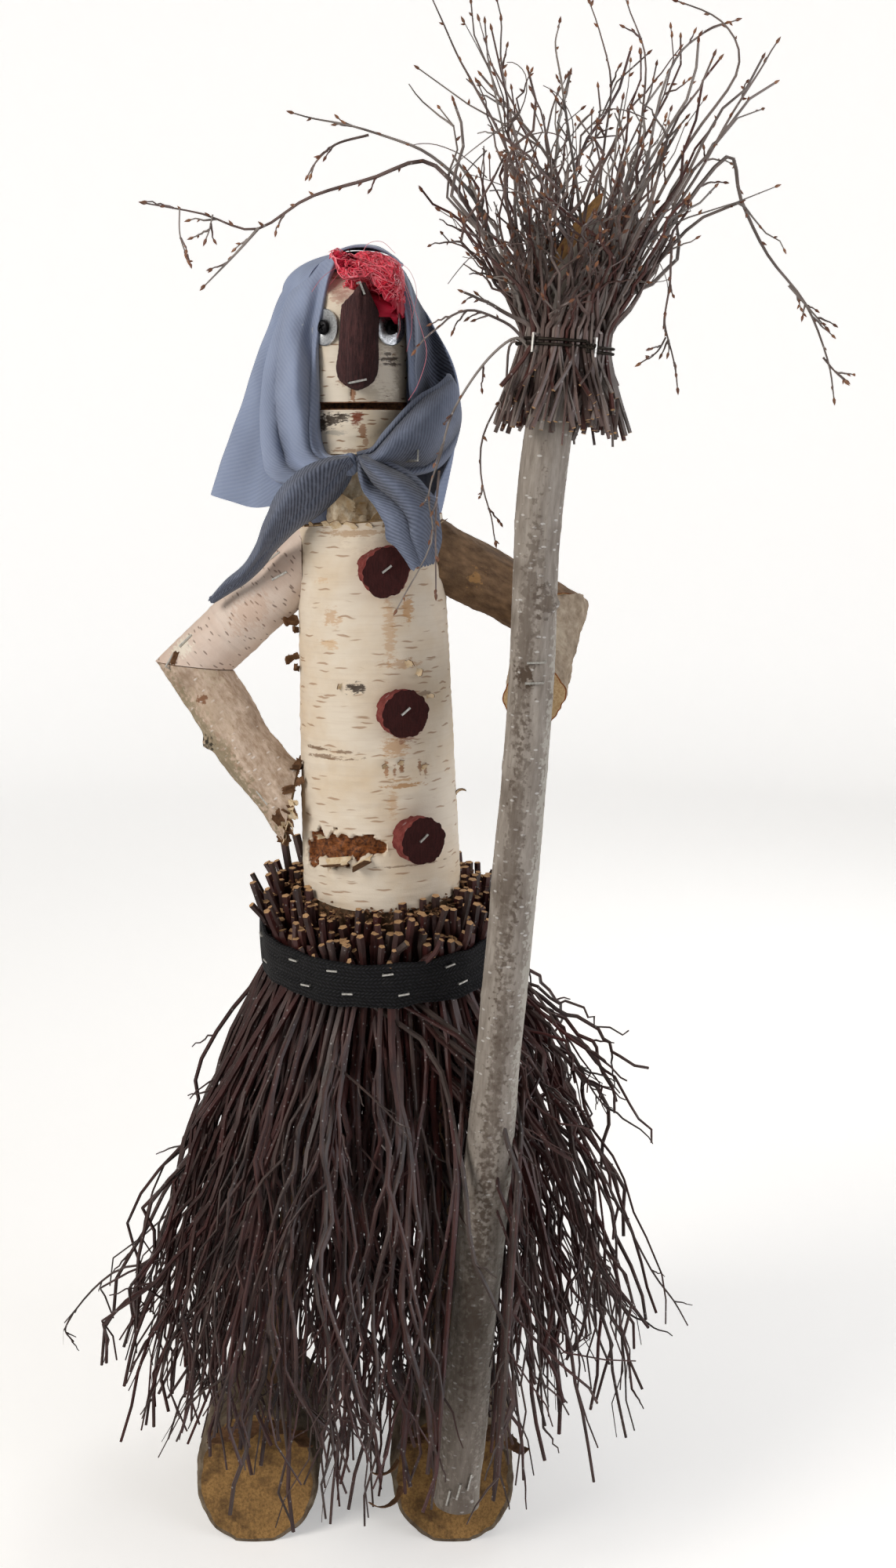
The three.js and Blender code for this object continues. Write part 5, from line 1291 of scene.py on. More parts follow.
BROOM_STRAYS = """
    1.7: 94 -108 740, 92 -104 757, 76 -102 797, 63 -104 833, 41 -106 858, 15 -108 869, -15 -110 877,
        -39 -112 883;
    0.8: 2 -108 871, -16 -109 866, -27 -109 857, -30 -110 850;
    1.9: 92 -108 740, 91 -104 757, 76 -103 790, 59 -106 828, 34 -109 856, 2 -112 847, -29 -116 837,
        -59 -119 820, -88 -122 828, -118 -125 833;
    1.0: -59 -119 820, -72 -120 806, -89 -122 789;
    0.5: -102 -123 830, -102 -124 816, -98 -125 803;
    0.5: -84 -121 827, -86 -121 819, -88 -121 814;
    1.2: 95 -112 745, 89 -112 760, 76 -114 770, 58 -118 776, 41 -121 767, 28 -125 754;
    1.3: 106 -96 745, 104 -95 762, 99 -92 806, 81 -89 862, 59 -86 901, 48 -83 922, 39 -80 948;
    1.3: 106 -94 745, 104 -95 762, 99 -94 819, 87 -92 870, 76 -91 912, 72 -90 944;
    1.4: 118 -118 745, 119 -112 762, 121 -99 818, 113 -98 882, 107 -96 915, 107 -95 933;
    1.2: 126 -84 745, 124 -85 763, 131 -85 820, 135 -80 872, 137 -75 915, 125 -70 948;
    1.3: 130 -88 745, 131 -88 763, 144 -86 820, 154 -82 872, 157 -79 915, 147 -75 949;
    1.4: 131 -102 745, 132 -100 762, 156 -98 818, 182 -96 869, 205 -94 908, 196 -92 933, 173 -90 945;
    1.3: 132 -96 745, 133 -95 762, 152 -91 828, 169 -88 905, 186 -84 928, 210 -80 937;
    1.4: 134 -100 745, 135 -97 762, 165 -96 819, 193 -98 865, 216 -99 902, 232 -100 921;
    1.7: 134 -90 745, 135 -93 762, 170 -95 819, 204 -95 861, 212 -95 838, 227 -95 808, 248 -95 781,
        261 -95 750, 266 -95 728;
    0.8: 240 -95 791, 251 -96 779, 261 -98 768;
    0.7: 261 -95 751, 267 -96 744, 273 -98 738;
    1.1: 132 -112 745, 135 -110 762, 153 -112 783, 170 -113 817, 170 -115 798, 167 -117 778,
        168 -118 761, 174 -120 734;
    0.6: 168 -118 761, 163 -120 753, 154 -122 747;
    1.0: 94 -114 752, 85 -116 761, 72 -114 753, 59 -112 738, 48 -112 718, 42 -112 696, 34 -112 674,
        37 -112 647, 18 -112 609;
    0.8: 41 -113 687, 39 -110 661, 39 -108 617;
    0.9: 90 -104 757, 81 -100 758, 77 -98 732, 66 -95 701, 70 -92 669, 74 -90 646
"""


def make_broom():
    """Shoots bound round the handle's upper end, and the wire that binds them."""
    own = settings()
    draw = random.Random(own.seed + 1)
    between = draw.uniform
    bag = Strands(5)
    for turn, ring in stands(draw, BROOM_ROWS, own.broom_twigs, 0.8):
        wide = ring / BROOM_RADIUS
        reach = draw.triangular(140, 190, 165) if draw.random() < 0.15 else draw.triangular(30, 140, 62)
        front = cos(turn) > 0.5
        if front and draw.random() < 0.6:
            reach = between(20, 74)
        spread = (24 + 60 * wide**2 * between(0.25, 1.3)) * (0.35 + reach / 160)
        if sin(turn) < -0.4 and draw.random() < 0.35:
            spread *= between(1.15, 1.6)
        spread = min(spread, 98)
        away = turn + draw.gauss(0, 1.1 if draw.random() < 0.25 else 0.3)
        butt = draw.triangular(20, 54, 46)
        thick = draw.triangular(0.8, 1.8, 1.1)
        splay, lean = between(27, 46), draw.gauss(0, 0.32)
        path = [
            on_broom(ring + (splay * wide - ring) * s**1.2, turn + lean * s, -butt * s)
            for s in (1, 0.66, 0.33)
        ]
        path += [on_broom(ring, turn, 0), on_broom(ring + 0.4, turn, 8)]
        for s in np.linspace(0, 1, 11)[1:]:
            bearing = turn + (away - turn) * s
            path.append(on_broom(ring + (spread - ring) * s**1.15, bearing, 8 + (reach - 8) * s))
        path = np.array(path)
        short = min(1.0, reach / 100)
        path[5:] = wavy(path[4:], draw, 7.0 * short, 0.9 * short)[1:]
        radii = thick * np.concatenate([[1.05, 1.05, 1, 1, 1], np.linspace(0.95, 0.5, 10)])
        tint = min(1, max(0, draw.gauss(0.45, 0.4)))
        bag.add(path, radii, tint, (1, 0))
        shoots = [path[9:]]
        for _ in range(draw.choice((0, 1, 1, 2)) if reach > 90 else draw.choice((0, 0, 1))):
            start = draw.randint(6, 12)
            side = np.array([draw.gauss(0, 1), draw.gauss(0, 1), between(-0.5, 0.5)])
            side = side * between(10, 34) * short
            shoot, thin = fork(path, radii, start, side * (16 - start) / 9, between(0.6, 1.15))
            shoots.append(wavy(shoot, draw, 2.6, 0.7))
            bag.add(shoots[-1], thin, min(1, tint + 0.15))
        for shoot in shoots:
            buds_along(bag, shoot, draw, 30, 3.4)
            if draw.random() < 0.5:
                start = draw.randint(1, len(shoot) - 2)
                small = sprout(
                    bag, draw, shoot, start, between(10, 42) * short, 0.7, min(1, tint + 0.2),
                    between(0.5, 1.5), between(-0.3, 0.3),
                )
                if draw.random() < 0.5:
                    buds_along(bag, small, draw, 16, 3.0)
    for _ in range(BROOM_BUTTS):
        turn, ring = between(0, 2 * pi), between(22, 27.6)
        butt, lean, splay = between(14, 55), draw.gauss(0, 0.5), between(1.0, 1.75)
        path = [on_broom(ring * (1 + (splay - 1) * s), turn + lean * s, -butt * s) for s in (1, 0.6, 0.2)]
        path += [on_broom(ring, turn, 3), on_broom(ring - 1, turn - lean * 0.2, between(9, 26))]
        bag.add(np.array(path), between(0.6, 1.2), between(0, 0.9), (1, 1))
    for _ in range(BROOM_TENDRILS):
        turn, rise = between(0, 2 * pi), between(20, 120)
        start = on_broom(26 + rise * 0.3, turn, rise)
        loop = [start]
        heading = unit([draw.gauss(0, 1), draw.gauss(0, 0.6), draw.gauss(0.3, 0.8)])
        axis = unit(jitter(draw, 1, 1, 1))
        for _ in range(11):
            loop.append(loop[-1] + heading * 5)
            heading = unit(heading + np.cross(axis, heading) * between(0.05, 0.42))
        bag.add(np.array(loop), np.linspace(0.42, 0.25, 12), between(0.3, 1))
    for thick, track in strays_in(BROOM_STRAYS):
        count = 6 + 3 * len(track)
        path = curve_through(track, count)
        if len(track) > 4:
            path[3:] = wavy(path[2:], draw, 1.8)[1:]
        bag.add(path, np.linspace(thick, 0.42, count), between(0.3, 1), (1, 0))
        buds_along(bag, path[count // 3 :], draw, 17, 3.6)
        for _ in range(len(track) // 2 + 1):
            start = draw.randint(count // 4, count - 3)
            small = sprout(
                bag, draw, path, start, between(6, 8 + len(track)), 0.75, draw.random(), between(0.5, 1.1),
                between(-0.2, 0.2),
            )
            buds_along(bag, small, draw, 12, 3.2)
    for points in bag.points:
        points[:, 0] = np.minimum(points[:, 0], BROOM_REACH)
    piece = bag.make("broom_shoots", ("grey shoot bark", "cut shoot end", "birch bud"))
    settle(piece, "broom_twig", "broom_twigs")
    make_wire()


WIRE_RADIUS = 0.9
WIRE_PITCH = 2.8
WIRE_TURNS = 2
WIRE_TWIST, WIRE_TAIL = 9, 9


def make_wire():
    """Annealed wire, wound twice round the broom with its ends twisted together."""
    draw = random.Random(settings().seed + 2)
    coil = Strands(10)
    around = np.linspace(0, WIRE_TURNS * 2 * pi, 150)
    hug = 27.4 + 0.5 * np.sin(around * 9) + 0.3 * np.sin(around * 14 + 1)
    path = [on_broom(r, a + 0.4, -WIRE_PITCH + WIRE_PITCH * a / (2 * pi)) for r, a in zip(hug, around)]
    start, end = path[0], path[-1]
    middle = (start + end) / 2
    out = unit(middle - on_broom(0, 0, 0))
    across = unit(end - start)
    third = np.cross(out, across)
    coil.add(np.array(path), WIRE_RADIUS, 0.5)
    for phase in (0, pi):
        lead = start if phase else end
        twist = [(phase + WIRE_TWIST * s, s) for s in np.linspace(0, 1, 26)]
        swirl = [middle + out * WIRE_TAIL * s + (across * cos(a) + third * sin(a)) * 0.95 for a, s in twist]
        coil.add(np.concatenate([[lead], swirl]), WIRE_RADIUS * 0.9, draw.random())
    piece = coil.make("broom_wire_wound", ("annealed binding wire",))
    settle(piece, "binding_wire", "broom_wire")


# Belt, scarf and hair
BELT_TOP, BELT_WIDTH, BELT_THICKNESS, BELT_RADIUS = -22.0, 30.0, 1.8, 79.1
BELT_LAP = 0.5


def make_belt():
    """Webbing that is drawn round the twigs, its ends lapped at the back."""
    turns = np.linspace(pi, 3 * pi + BELT_LAP, 260)
    heights = BELT_TOP - np.linspace(0, BELT_WIDTH, 15)
    place = np.stack([80 * np.sin(turns), 80 * np.cos(turns), 0 * turns], -1)
    ripple = 0.9 * rough(place, 17) + 0.5 * rough(place + 5, 7)
    lap = 2.2 * np.clip((turns - 3 * pi + 0.15) / 0.15, 0, 1)
    net = []
    for row, height in enumerate(heights):
        edge = abs(row - 7) / 7
        bow = 0.5 * (1 - edge**2)
        share = (height - BELT_TOP + BELT_WIDTH / 2) / BELT_WIDTH
        sag = 2.0 * rough(place + (0, 0, 40), 30) + 3.0 * share * rough(place + (0, 0, 90), 13)
        radius = BELT_RADIUS + 0.9 + ripple + bow + lap
        net.append([on_skirt(r, t, height + s) for r, t, s in zip(radius, turns, sag)])
    net = np.array(net)
    out = (net - (WAIST.x, 0, 0)) * (1, 1, 0)
    out /= np.linalg.norm(out, axis=-1, keepdims=True)
    boxes = (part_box(node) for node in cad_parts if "staple_belt" in node)
    staples = [np.array(((low + high) / 2 - ORIGIN) / MM) for low, high in boxes]
    dented = sum(np.exp(-(np.linalg.norm(net - s, axis=-1) / 8) ** 2) for s in staples)
    net += out * (0.9 * (1 - np.minimum(1, 1.6 * dented)) - 0.5)[..., None]
    run = steps_to(net[7])
    weave = np.stack(np.meshgrid(run, heights) + [np.zeros(net.shape[:2])], -1)
    bag = Sheets()
    bag.add(net[::-1], BELT_THICKNESS, weave[::-1])
    piece = bag.make("belt_webbing", ("woven webbing",))
    settle(piece, "webbing", "belt")


SCARF_POLE = (-6.0, 4.0)
SCARF_CROWN, SCARF_TEMPLE = 818.9, 794.9
HOOD_TURNS = (-118, -104, -90, -45, 0, 45, 78)
TEMPLE_RADII = (39, 44, 50, 40, 32, 30.5, 29.5)
HEM_RADII = (50, 73, 97, 76, 54, 52, 46)
HOOD_DROPS = (128, 132, 124, 140, 178, 152, 124)
RIGHT_BULGE = 23.0
DOME_SHARE = 0.24
HOOD_FOLDS = (
    (-97, 3.0, 2.5, 0.8),
    (-84, 5.0, -2.5, 1.0),
    (-72, 6.0, 4.5, 1.0),
    (-59, 5.0, -6.0, 0.9),
    (-46, 4.5, 4.5, 0.8),
    (-33, 5.0, -5.5, 1.0),
    (-19, 4.5, 6.0, 0.8),
    (-6, 4.5, -5.0, 1.0),
    (9, 5.0, 5.5, 0.9),
    (23, 4.5, -6.0, 0.8),
    (37, 5.0, 5.0, 1.0),
    (50, 4.5, -5.0, 0.9),
    (61, 4.0, 4.0, 1.0),
    (72, 5.0, -3.0, 0.8),
)


def hood_points(turns, shares):
    """Points of the hood: turns in degrees from straight behind, shares from the crown to the hem."""
    table = curve_through(list(zip(HOOD_TURNS, TEMPLE_RADII, HEM_RADII, HOOD_DROPS)), 240).T
    temple, hem, drop = (np.interp(turns, table[0], row) for row in table[1:])
    angle = turns * DEGREE
    rise = np.clip(shares / DOME_SHARE, 0, 1) * np.pi / 2
    down = np.clip((shares - DOME_SHARE) / (1 - DOME_SHARE), 0, 1)
    bulge = RIGHT_BULGE * np.maximum(0, np.sin(angle)) * np.sin(np.pi * down)
    wander = rough(np.stack([turns / 30, 3 * shares, 0 * turns], -1), 1.0)
    sway = turns + 5 * down * wander * hump(turns, 0, 70)
    folds = sum(height * hump(sway, turn, width) * down**power for turn, width, height, power in HOOD_FOLDS)
    under = temple * np.sin(rise)
    radius = np.where(down > 0, temple + (hem - temple) * down**0.9 + bulge + folds, under)
    dome = SCARF_TEMPLE + (SCARF_CROWN - SCARF_TEMPLE) * np.cos(rise)
    height = np.where(down > 0, SCARF_TEMPLE - drop * down, dome)
    level = SCARF_POLE[0] + radius * np.sin(angle), SCARF_POLE[1] + radius * np.cos(angle)
    return np.stack([*level, height], -1)


def at_chin(x, y, z):
    """A point measured from the front of the head's lower edge."""
    return (HEAD_X + x, y - HEAD_RADIUS, HEAD_BOTTOM + z)


KNOT, KNOT_SIZE = np.array(at_chin(-4, -19.5, -6)), (5.2, 7.0)
SCARF_PANELS = {
    "front panel": """
    -45 20 807, -48 6 805, -42 -4 807, -35 -10 809, -28 -14 813, -21 -14 816, -19 -6 818
    -50 14 788, -56 0 790, -48 -14 791, -39 -20 794, -32 -20 796, -27 -22 799, -26 -10 800
    -53 -6 771, -61 -4 773, -53 -20 771, -44 -27 772, -38 -24 771, -33 -25 771, -32 -10 771
    -58 -11 754, -66 -6 756, -58 -20 751, -47 -32 752, -39 -27 751, -35 -26 752, -33 -12 753
    -61 -13 735, -69 -9 736, -62 -19 733, -49 -34 732, -40 -31 731, -34 -26 733, -33 -12 733
    -62 -18 716, -70 -14 718, -62 -24 714, -50 -31 714, -40 -38 711, -35 -30 713, -33 -15 713
    -61 -20 699, -69 -18 700, -59 -28 697, -49 -26 697, -38 -40 698, -33 -33 700, -31 -19 700
    -58 -22 681, -65 -22 684, -54 -35 687, -41 -33 689, -31 -43 692, -28 -39 694, -27 -27 695
    -47 -28 677, -49 -34 679, -39 -43 684, -30 -41 688, -22 -49 691, -20 -47 694, -20 -37 695
    -20 -45 685, -20 -49 687, -18 -51 688, -15 -50 691, -14 -52 693, -13 -50 694, -13 -46 696
    """,
    "chin roll": """
    -11 -46 689, -10 -50 691, -9 -53 693, -9 -52 695, -9 -48 697
    0 -42 686, 0 -50 688, 0 -56 692, 0 -52 696, 0 -42 700
    11 -36 684, 11 -46 688, 10 -56 696, 8 -51 703, 6 -36 708
    22 -27 683, 21 -39 688, 20 -51 700, 16 -45 711, 13 -32 716
    32 -15 684, 32 -28 690, 30 -42 705, 25 -38 719, 21 -26 725
    41 -3 688, 41 -16 697, 39 -30 713, 34 -28 727, 29 -16 732
    48 8 696, 49 -2 706, 47 -16 722, 43 -16 734, 39 -6 738
    52 20 705, 54 10 716, 53 -1 730, 49 -2 740, 45 6 744
    49 30 706, 51 22 722, 50 12 736, 48 9 744, 44 16 746
    """,
    "right border": """
    8 -6 812, 13 -4 811, 17 4 809
    13 -12 803, 18 -12 802, 22 -2 799
    17 -18 790, 22 -18 790, 25 -6 787
    20 -21 778, 24 -21 778, 27 -8 776
    21 -23 764, 25 -22 764, 27 -10 763
    22 -23 750, 25 -22 750, 26 -10 749
    22 -20 738, 25 -18 738, 27 -10 738
    23 -14 728, 25 -13 727, 26 -9 727
    """,
    "right hollow": """
    17 4 808, 18 7 808, 19 9 807, 20 9 806
    22 -2 799, 23 4 799, 23 9 799, 22 10 799
    25 -6 787, 27 3 787, 29 9 787, 29 11 787
    27 -8 776, 29 4 776, 33 14 776, 36 13 776
    27 -10 763, 30 6 763, 36 19 763, 43 14 763
    26 -10 749, 30 8 749, 38 23 749, 49 16 749
    27 -10 738, 31 8 738, 39 24 738, 52 16 738
    26 -9 727, 31 8 727, 40 24 727, 53 17 727
    25 -8 714, 31 8 714, 40 24 714, 53 17 714
    """,
    "crown edge": """
    -27 -12 813, -26 -6 816, -24 2 817
    -19 -15 818, -18 -6 820, -17 5 820
    -9 -16 820, -8 -6 822, -7 5 820
    2 -15 819, 3 -5 821, 4 6 819
    11 -11 815, 12 -2 816, 12 7 816
    17 -4 809, 18 2 810, 18 9 812
    """,
    "right-hand tail": """
    -14 -50 695, -13 -54 694, -12 -55 692, -11 -53 690, -10 -50 688
    -26 -50 694, -23 -58 691, -20 -56 686, -17 -50 681, -15 -46 678
    -39 -46 689, -36 -58 684, -30 -56 676, -26 -48 670, -23 -44 668
    -50 -42 681, -46 -55 676, -41 -55 667, -37 -48 660, -35 -42 658
    -58 -38 672, -54 -50 666, -51 -50 658, -48 -44 652, -46 -38 651
    -63 -32 662, -61 -44 656, -59 -44 649, -57 -40 644, -55 -34 643
    -68 -28 652, -66 -38 646, -65 -38 640, -64 -34 636, -63 -30 635
    -73 -24 640, -72 -32 635, -72 -32 632, -71 -30 628, -70 -26 626
    -81 -20 628, -81 -26 624, -81 -27 621, -80 -25 618, -80 -22 617
    -93 -16 618, -93 -21 616, -93 -22 613, -92 -21 611, -91 -19 610
    -104 -14 606, -104 -17 605, -103 -18 605, -102 -18 604, -101 -17 604
    """,
    "left-hand tail": """
    -9 -50 694, -8 -54 695, -7 -56 695, -6 -54 695, -5 -50 696
    -8 -52 685, -5 -60 687, -1 -64 689, 2 -58 692, 4 -50 694
    -6 -54 677, -1 -56 678, 7 -66 682, 12 -60 686, 14 -50 690
    -2 -56 670, 4 -57 671, 14 -66 674, 21 -62 680, 25 -48 684
    3 -58 663, 10 -60 664, 20 -64 667, 29 -58 671, 33 -46 676
    8 -61 655, 16 -62 656, 24 -64 659, 34 -56 663, 39 -44 668
    9 -63 646, 18 -64 647, 26 -64 649, 35 -55 652, 41 -43 656
    16 -64 640, 22 -65 640, 29 -63 641, 35 -54 643, 42 -43 645
    24 -65 627, 28 -65 629, 32 -62 630, 35 -54 630, 39 -44 633
    """,
}
# Each panel's folds, fold depth, reach from the knot, tilt, and painted shade over the whole panel and across
# it
SCARF_CREASES = {
    "front panel": (2.3, 11.0, 0.6, 0.0, (0.0, 0.0)),
    "chin roll": (2.2, 9.0, 0.8, -5.0, (0.6, 0.0)),
    "right border": (1.0, 0.5, 1.0, 0.0, (0.0, 0.1)),
    "right hollow": (1.0, 0.0, 1.0, 0.0, (0.65, 0.25)),
    "crown edge": (1.0, 0.0, 1.0, 0.0, (0.0, 0.0)),
    "right-hand tail": (1.5, 4.5, 0.7, 20.0, (0.82, 0.36)),
    "left-hand tail": (2.1, 8.0, 0.7, 6.0, (0.66, 0.0)),
}
SCARF_STAPLES = (("staple_scarf_right", "front panel", 8, 13), ("staple_scarf_left", "chin roll", 10, 9))
STAPLE_SHOWS = 1.3


def creased(panel, name):
    """Presses the folds into a panel that fan out from the knot, and the dents where staples hold the cloth.

    Gives the panel and how deep in a fold each of its points lies, from 0 to 1.
    """
    folds, depth, reach, tilt, (panel_shade, across_shade) = SCARF_CREASES[name]
    rows, columns = panel.shape[:2]
    down, across = np.meshgrid(np.linspace(0, 1, rows), np.linspace(0, 1, columns), indexing="ij")
    run = 1 - down if name == "front panel" else down
    cells = np.stack([across * 3.0, down * 1.6, across * 0 + len(name)], -1)
    wave = np.abs(np.sin(np.pi * (folds * across + 0.3 + 0.25 * rough(cells, 1.0)))) ** 0.75
    edge = np.minimum(1, 5 * np.minimum(across, 1 - across))
    near = np.exp(-((run / reach) ** 2)) * np.minimum(1, 6 * run)
    valley = (1 - wave) * near * edge
    depth = depth * (1 + 0.5 * rough(cells * (1, 2, 1) + 7, 1.0))
    press = depth * valley
    if depth.max() > 0:
        press += 2.2 * rough(cells * (1.6, 1.1, 1), 1.0) * edge
    press += tilt * (across - 0.5) * np.minimum(1, 4 * run) * np.minimum(1, 2.5 * (1 - run))
    # painted shade: a level for the whole panel and a slope across it, more in the fold valleys and near the
    # knot
    folded = panel_shade + across_shade * across + 1.05 * valley
    folded = folded + 0.35 * (panel_shade > 0) * np.exp(-((run / 0.16) ** 2))
    for node, on, wide, tall in SCARF_STAPLES:
        if on == name:
            low, high = ((Vector(corner) - ORIGIN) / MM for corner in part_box(node))
            centre = (low + high) / 2
            near = hump(panel[..., 0], centre.x, wide) * hump(panel[..., 2], centre.z, tall)
            spot = np.unravel_index(near.argmax(), near.shape)
            dent = near * (low.y + STAPLE_SHOWS - panel[spot][1] - press[spot])
            press += dent
            # painted shade in the staple's dent
            folded += 0.03 * dent
    frayed = panel + press[..., None] * np.array([0, 1, 0])
    if "tail" in name:
        frayed[-2:, :, 2] += 1.6 * rough(frayed[-2:] * 7, 9)
    return frayed + 0.35 * rough(panel, 9)[..., None], np.clip(folded + 0.08 * rough(panel, 12), 0, 1)


def make_scarf():
    """A square of twill, folded to a triangle, laid over the head and gathered under the chin."""
    thick = settings().cloth_thickness / MM
    bag = Sheets()
    turns = np.linspace(HOOD_TURNS[0], HOOD_TURNS[-1], 190)
    shares = np.concatenate([np.linspace(0.004, DOME_SHARE, 22)[:-1], np.linspace(DOME_SHARE, 1, 70)])
    hood = hood_points(turns[None, :] + 0 * shares[:, None], shares[:, None] + 0 * turns[None, :])
    wrinkles = 0.8 * rough(hood, 22) + 0.7 * rough(hood * (1, 1, 0.3), 8)
    hood += wrinkles[..., None] * np.array([1, 1, 0.3]) * np.clip(shares / 0.3, 0, 1)[:, None, None]
    # painted shade where the wrinkles sink in
    bag.add(hood[:, ::-1], thick, folded=np.clip(-0.22 * wrinkles, 0, 0.3)[:, ::-1])
    for name, rows in SCARF_PANELS.items():
        net = np.array([points_in(row) for row in rows.strip().splitlines()])
        panel = surface_through(net, 12 * len(net), 11 * len(net[0]))
        panel, folded = creased(panel, name)
        bag.add(panel[:, ::-1], thick, folded=folded[:, ::-1])
    piece = bag.make("headscarf_twill", ("cotton twill",))
    settle(piece, "headscarf_cloth", "headscarf")
    around, rise = np.linspace(0, 2 * np.pi, 60, endpoint=False), np.linspace(-0.98, 0.98, 24)[:, None]
    wide = KNOT_SIZE[0] * np.sqrt(1 - rise**2) * (1 + 0.12 * np.sin(5 * around + 2 * rise))
    level = wide * np.cos(around), wide * 0.72 * np.sin(around)
    net = np.stack([*level, KNOT_SIZE[1] * rise + 0 * wide], -1) + KNOT
    # painted shade over the whole knot
    marks = {"weave": (net - KNOT).reshape(-1, 3)[:, [0, 2, 1]], "folded": np.full(net.size // 3, 0.55)}
    knot = build("headscarf_knot", net, tube_faces(24, 60), ("cotton twill",), marks=marks)
    settle(knot, "headscarf_cloth")


HAIR_STEP, HAIR_LOWEST, HAIR_EDGE = 2.4, 786.0, 14.0


def hair_sink(points):
    """How far the mat draws back: over the brow, beside and under the hood and above the eye."""
    x, y, z = points[..., 0], points[..., 1], points[..., 2]
    brow = np.clip((804 - z) / 8, 0, 1) * np.clip((7 - x) / 8, 0, 1)
    crown = np.clip((z - 806) / 8, 0, 1)
    under_hood = 4 * crown * np.clip((y + 14) / 8, 0, 1) + 3 * crown * np.clip((-25 - y) / 5, 0, 1)
    return 12 * brow + 12 * np.clip((-16 - x) / 6, 0, 1) + 12 * np.clip((791 - z) / 6, 0, 1) + under_hood


def make_hair():
    """Dyed sisal: a mat on the head and loose fibres that run over it."""

    def fuzz(points):
        return 0.9 * rough(points * (0.35, 1, 1), 1.8) + 0.6 * rough(points, 1.2) - 1.4 - hair_sink(points)

    mat = roughened_copy("hair", "hair_mat", ("matted sisal",), 0.8, fuzz)
    settle(mat, "sisal", "hair")
    own = settings()
    draw = random.Random(own.seed + 3)
    between = draw.uniform
    points = (np.array([v.co for v in mat.data.vertices]) - np.array(ORIGIN)) / MM
    beyond = np.maximum(points[:, 0] - HAIR_EDGE, 0) * np.clip((816 - points[:, 2]) / 8, 0, 1)
    points[:, 0] -= 0.65 * beyond
    mat.data.vertices.foreach_set("co", (points * MM + np.array(ORIGIN)).ravel())
    skin = BVHTree.FromPolygons(points.tolist(), [tuple(p.vertices) for p in mat.data.polygons])
    roots = points[(hair_sink(points) < 3.2) & (points[:, 1] < -4)]
    bag = Strands(3)
    for _ in range(own.hair_fibres):
        place = roots[draw.randrange(len(roots))]
        heading = unit([0.55 + draw.gauss(0, 0.5), -0.25 + draw.gauss(0, 0.4), -0.55 + draw.gauss(0, 0.5)])
        veer, lift = draw.gauss(0, 0.16), 0.3 + 2.2 * draw.random() ** 2
        path = []
        for _ in range(draw.randint(5, 15)):
            spot, normal, _, gap = skin.find_nearest(place.tolist())
            normal = np.array(normal)
            if gap < 4.5:
                place = np.array(spot) + normal * lift
            path.append(place)
            flat = heading - 0.8 * normal * heading.dot(normal)
            heading = unit(flat + veer * np.cross(normal, heading) + np.array([0, 0, -0.03]))
            place = place + heading * HAIR_STEP
            if place[2] < HAIR_LOWEST:
                break
        if len(path) > 2:
            bag.add(curve_through(path, 2 * len(path)), between(0.2, 0.42), between(0.0, 1.0))
    for track in HAIR_WISPS:
        bag.add(curve_through(points_in(track), 24), 0.17, 0.9)
    fibres = bag.make("hair_fibres", ("dyed sisal",))
    settle(fibres, "sisal")


HAIR_WISPS = (
    "18 -26 800, 23 -30 785, 24 -33 770, 21 -34 757",
    "20 -24 798, 30 -30 770, 33 -34 755, 28 -36 738, 22 -36 728",
    "10 -22 812, 22 -24 806, 27 -26 792, 24 -30 776",
    "-12 -24 810, -22 -30 806, -30 -33 800, -36 -34 792",
    "-10 -26 808, -19 -33 803, -25 -36 796",
    "-6 -20 816, -2 -16 822, 6 -14 823, 14 -16 816",
    "12 -30 790, 16 -33 780, 17 -33 771, 15 -32 765",
)


# Loose bark and plain nodes
def curl_net(point, normal, heading, width, length, radius, draw):
    """A strip of bark that lifts off at a point and rolls up along its heading."""
    point, normal = np.asarray(point, float), unit(normal)
    heading = unit(np.asarray(heading, float) - normal * np.dot(heading, normal))
    across = np.cross(heading, normal)
    rows, columns = 18, 9
    steps = np.linspace(0, length, rows)
    angle = 0.15 + steps / radius
    run = np.cumsum(np.cos(angle)) * (steps[1] - steps[0])
    rise = np.cumsum(np.sin(angle)) * (steps[1] - steps[0])
    net = point + run[:, None, None] * heading + rise[:, None, None] * normal
    ragged = width * (0.5 + 0.22 * np.array([draw.uniform(-1, 1) for _ in range(rows)]))
    ragged = np.convolve(np.pad(ragged, 2, mode="edge"), np.ones(3) / 3, mode="same")[2:-2]
    ragged = ragged * (1 - 0.35 * (steps / length) ** 2)
    net = net + np.linspace(-1, 1, columns)[None, :, None] * ragged[:, None, None] * across
    return net + 0.4 * rough(net, 4)[..., None] * normal


def surface_point(foot, axis, radii, length, turn, height):
    """A point on an upright log and the way out of it."""
    radius = radii[0] + (radii[1] - radii[0]) * height / length
    out = np.array(way_out(turn))
    return np.array(foot + axis * height) + out * radius, out


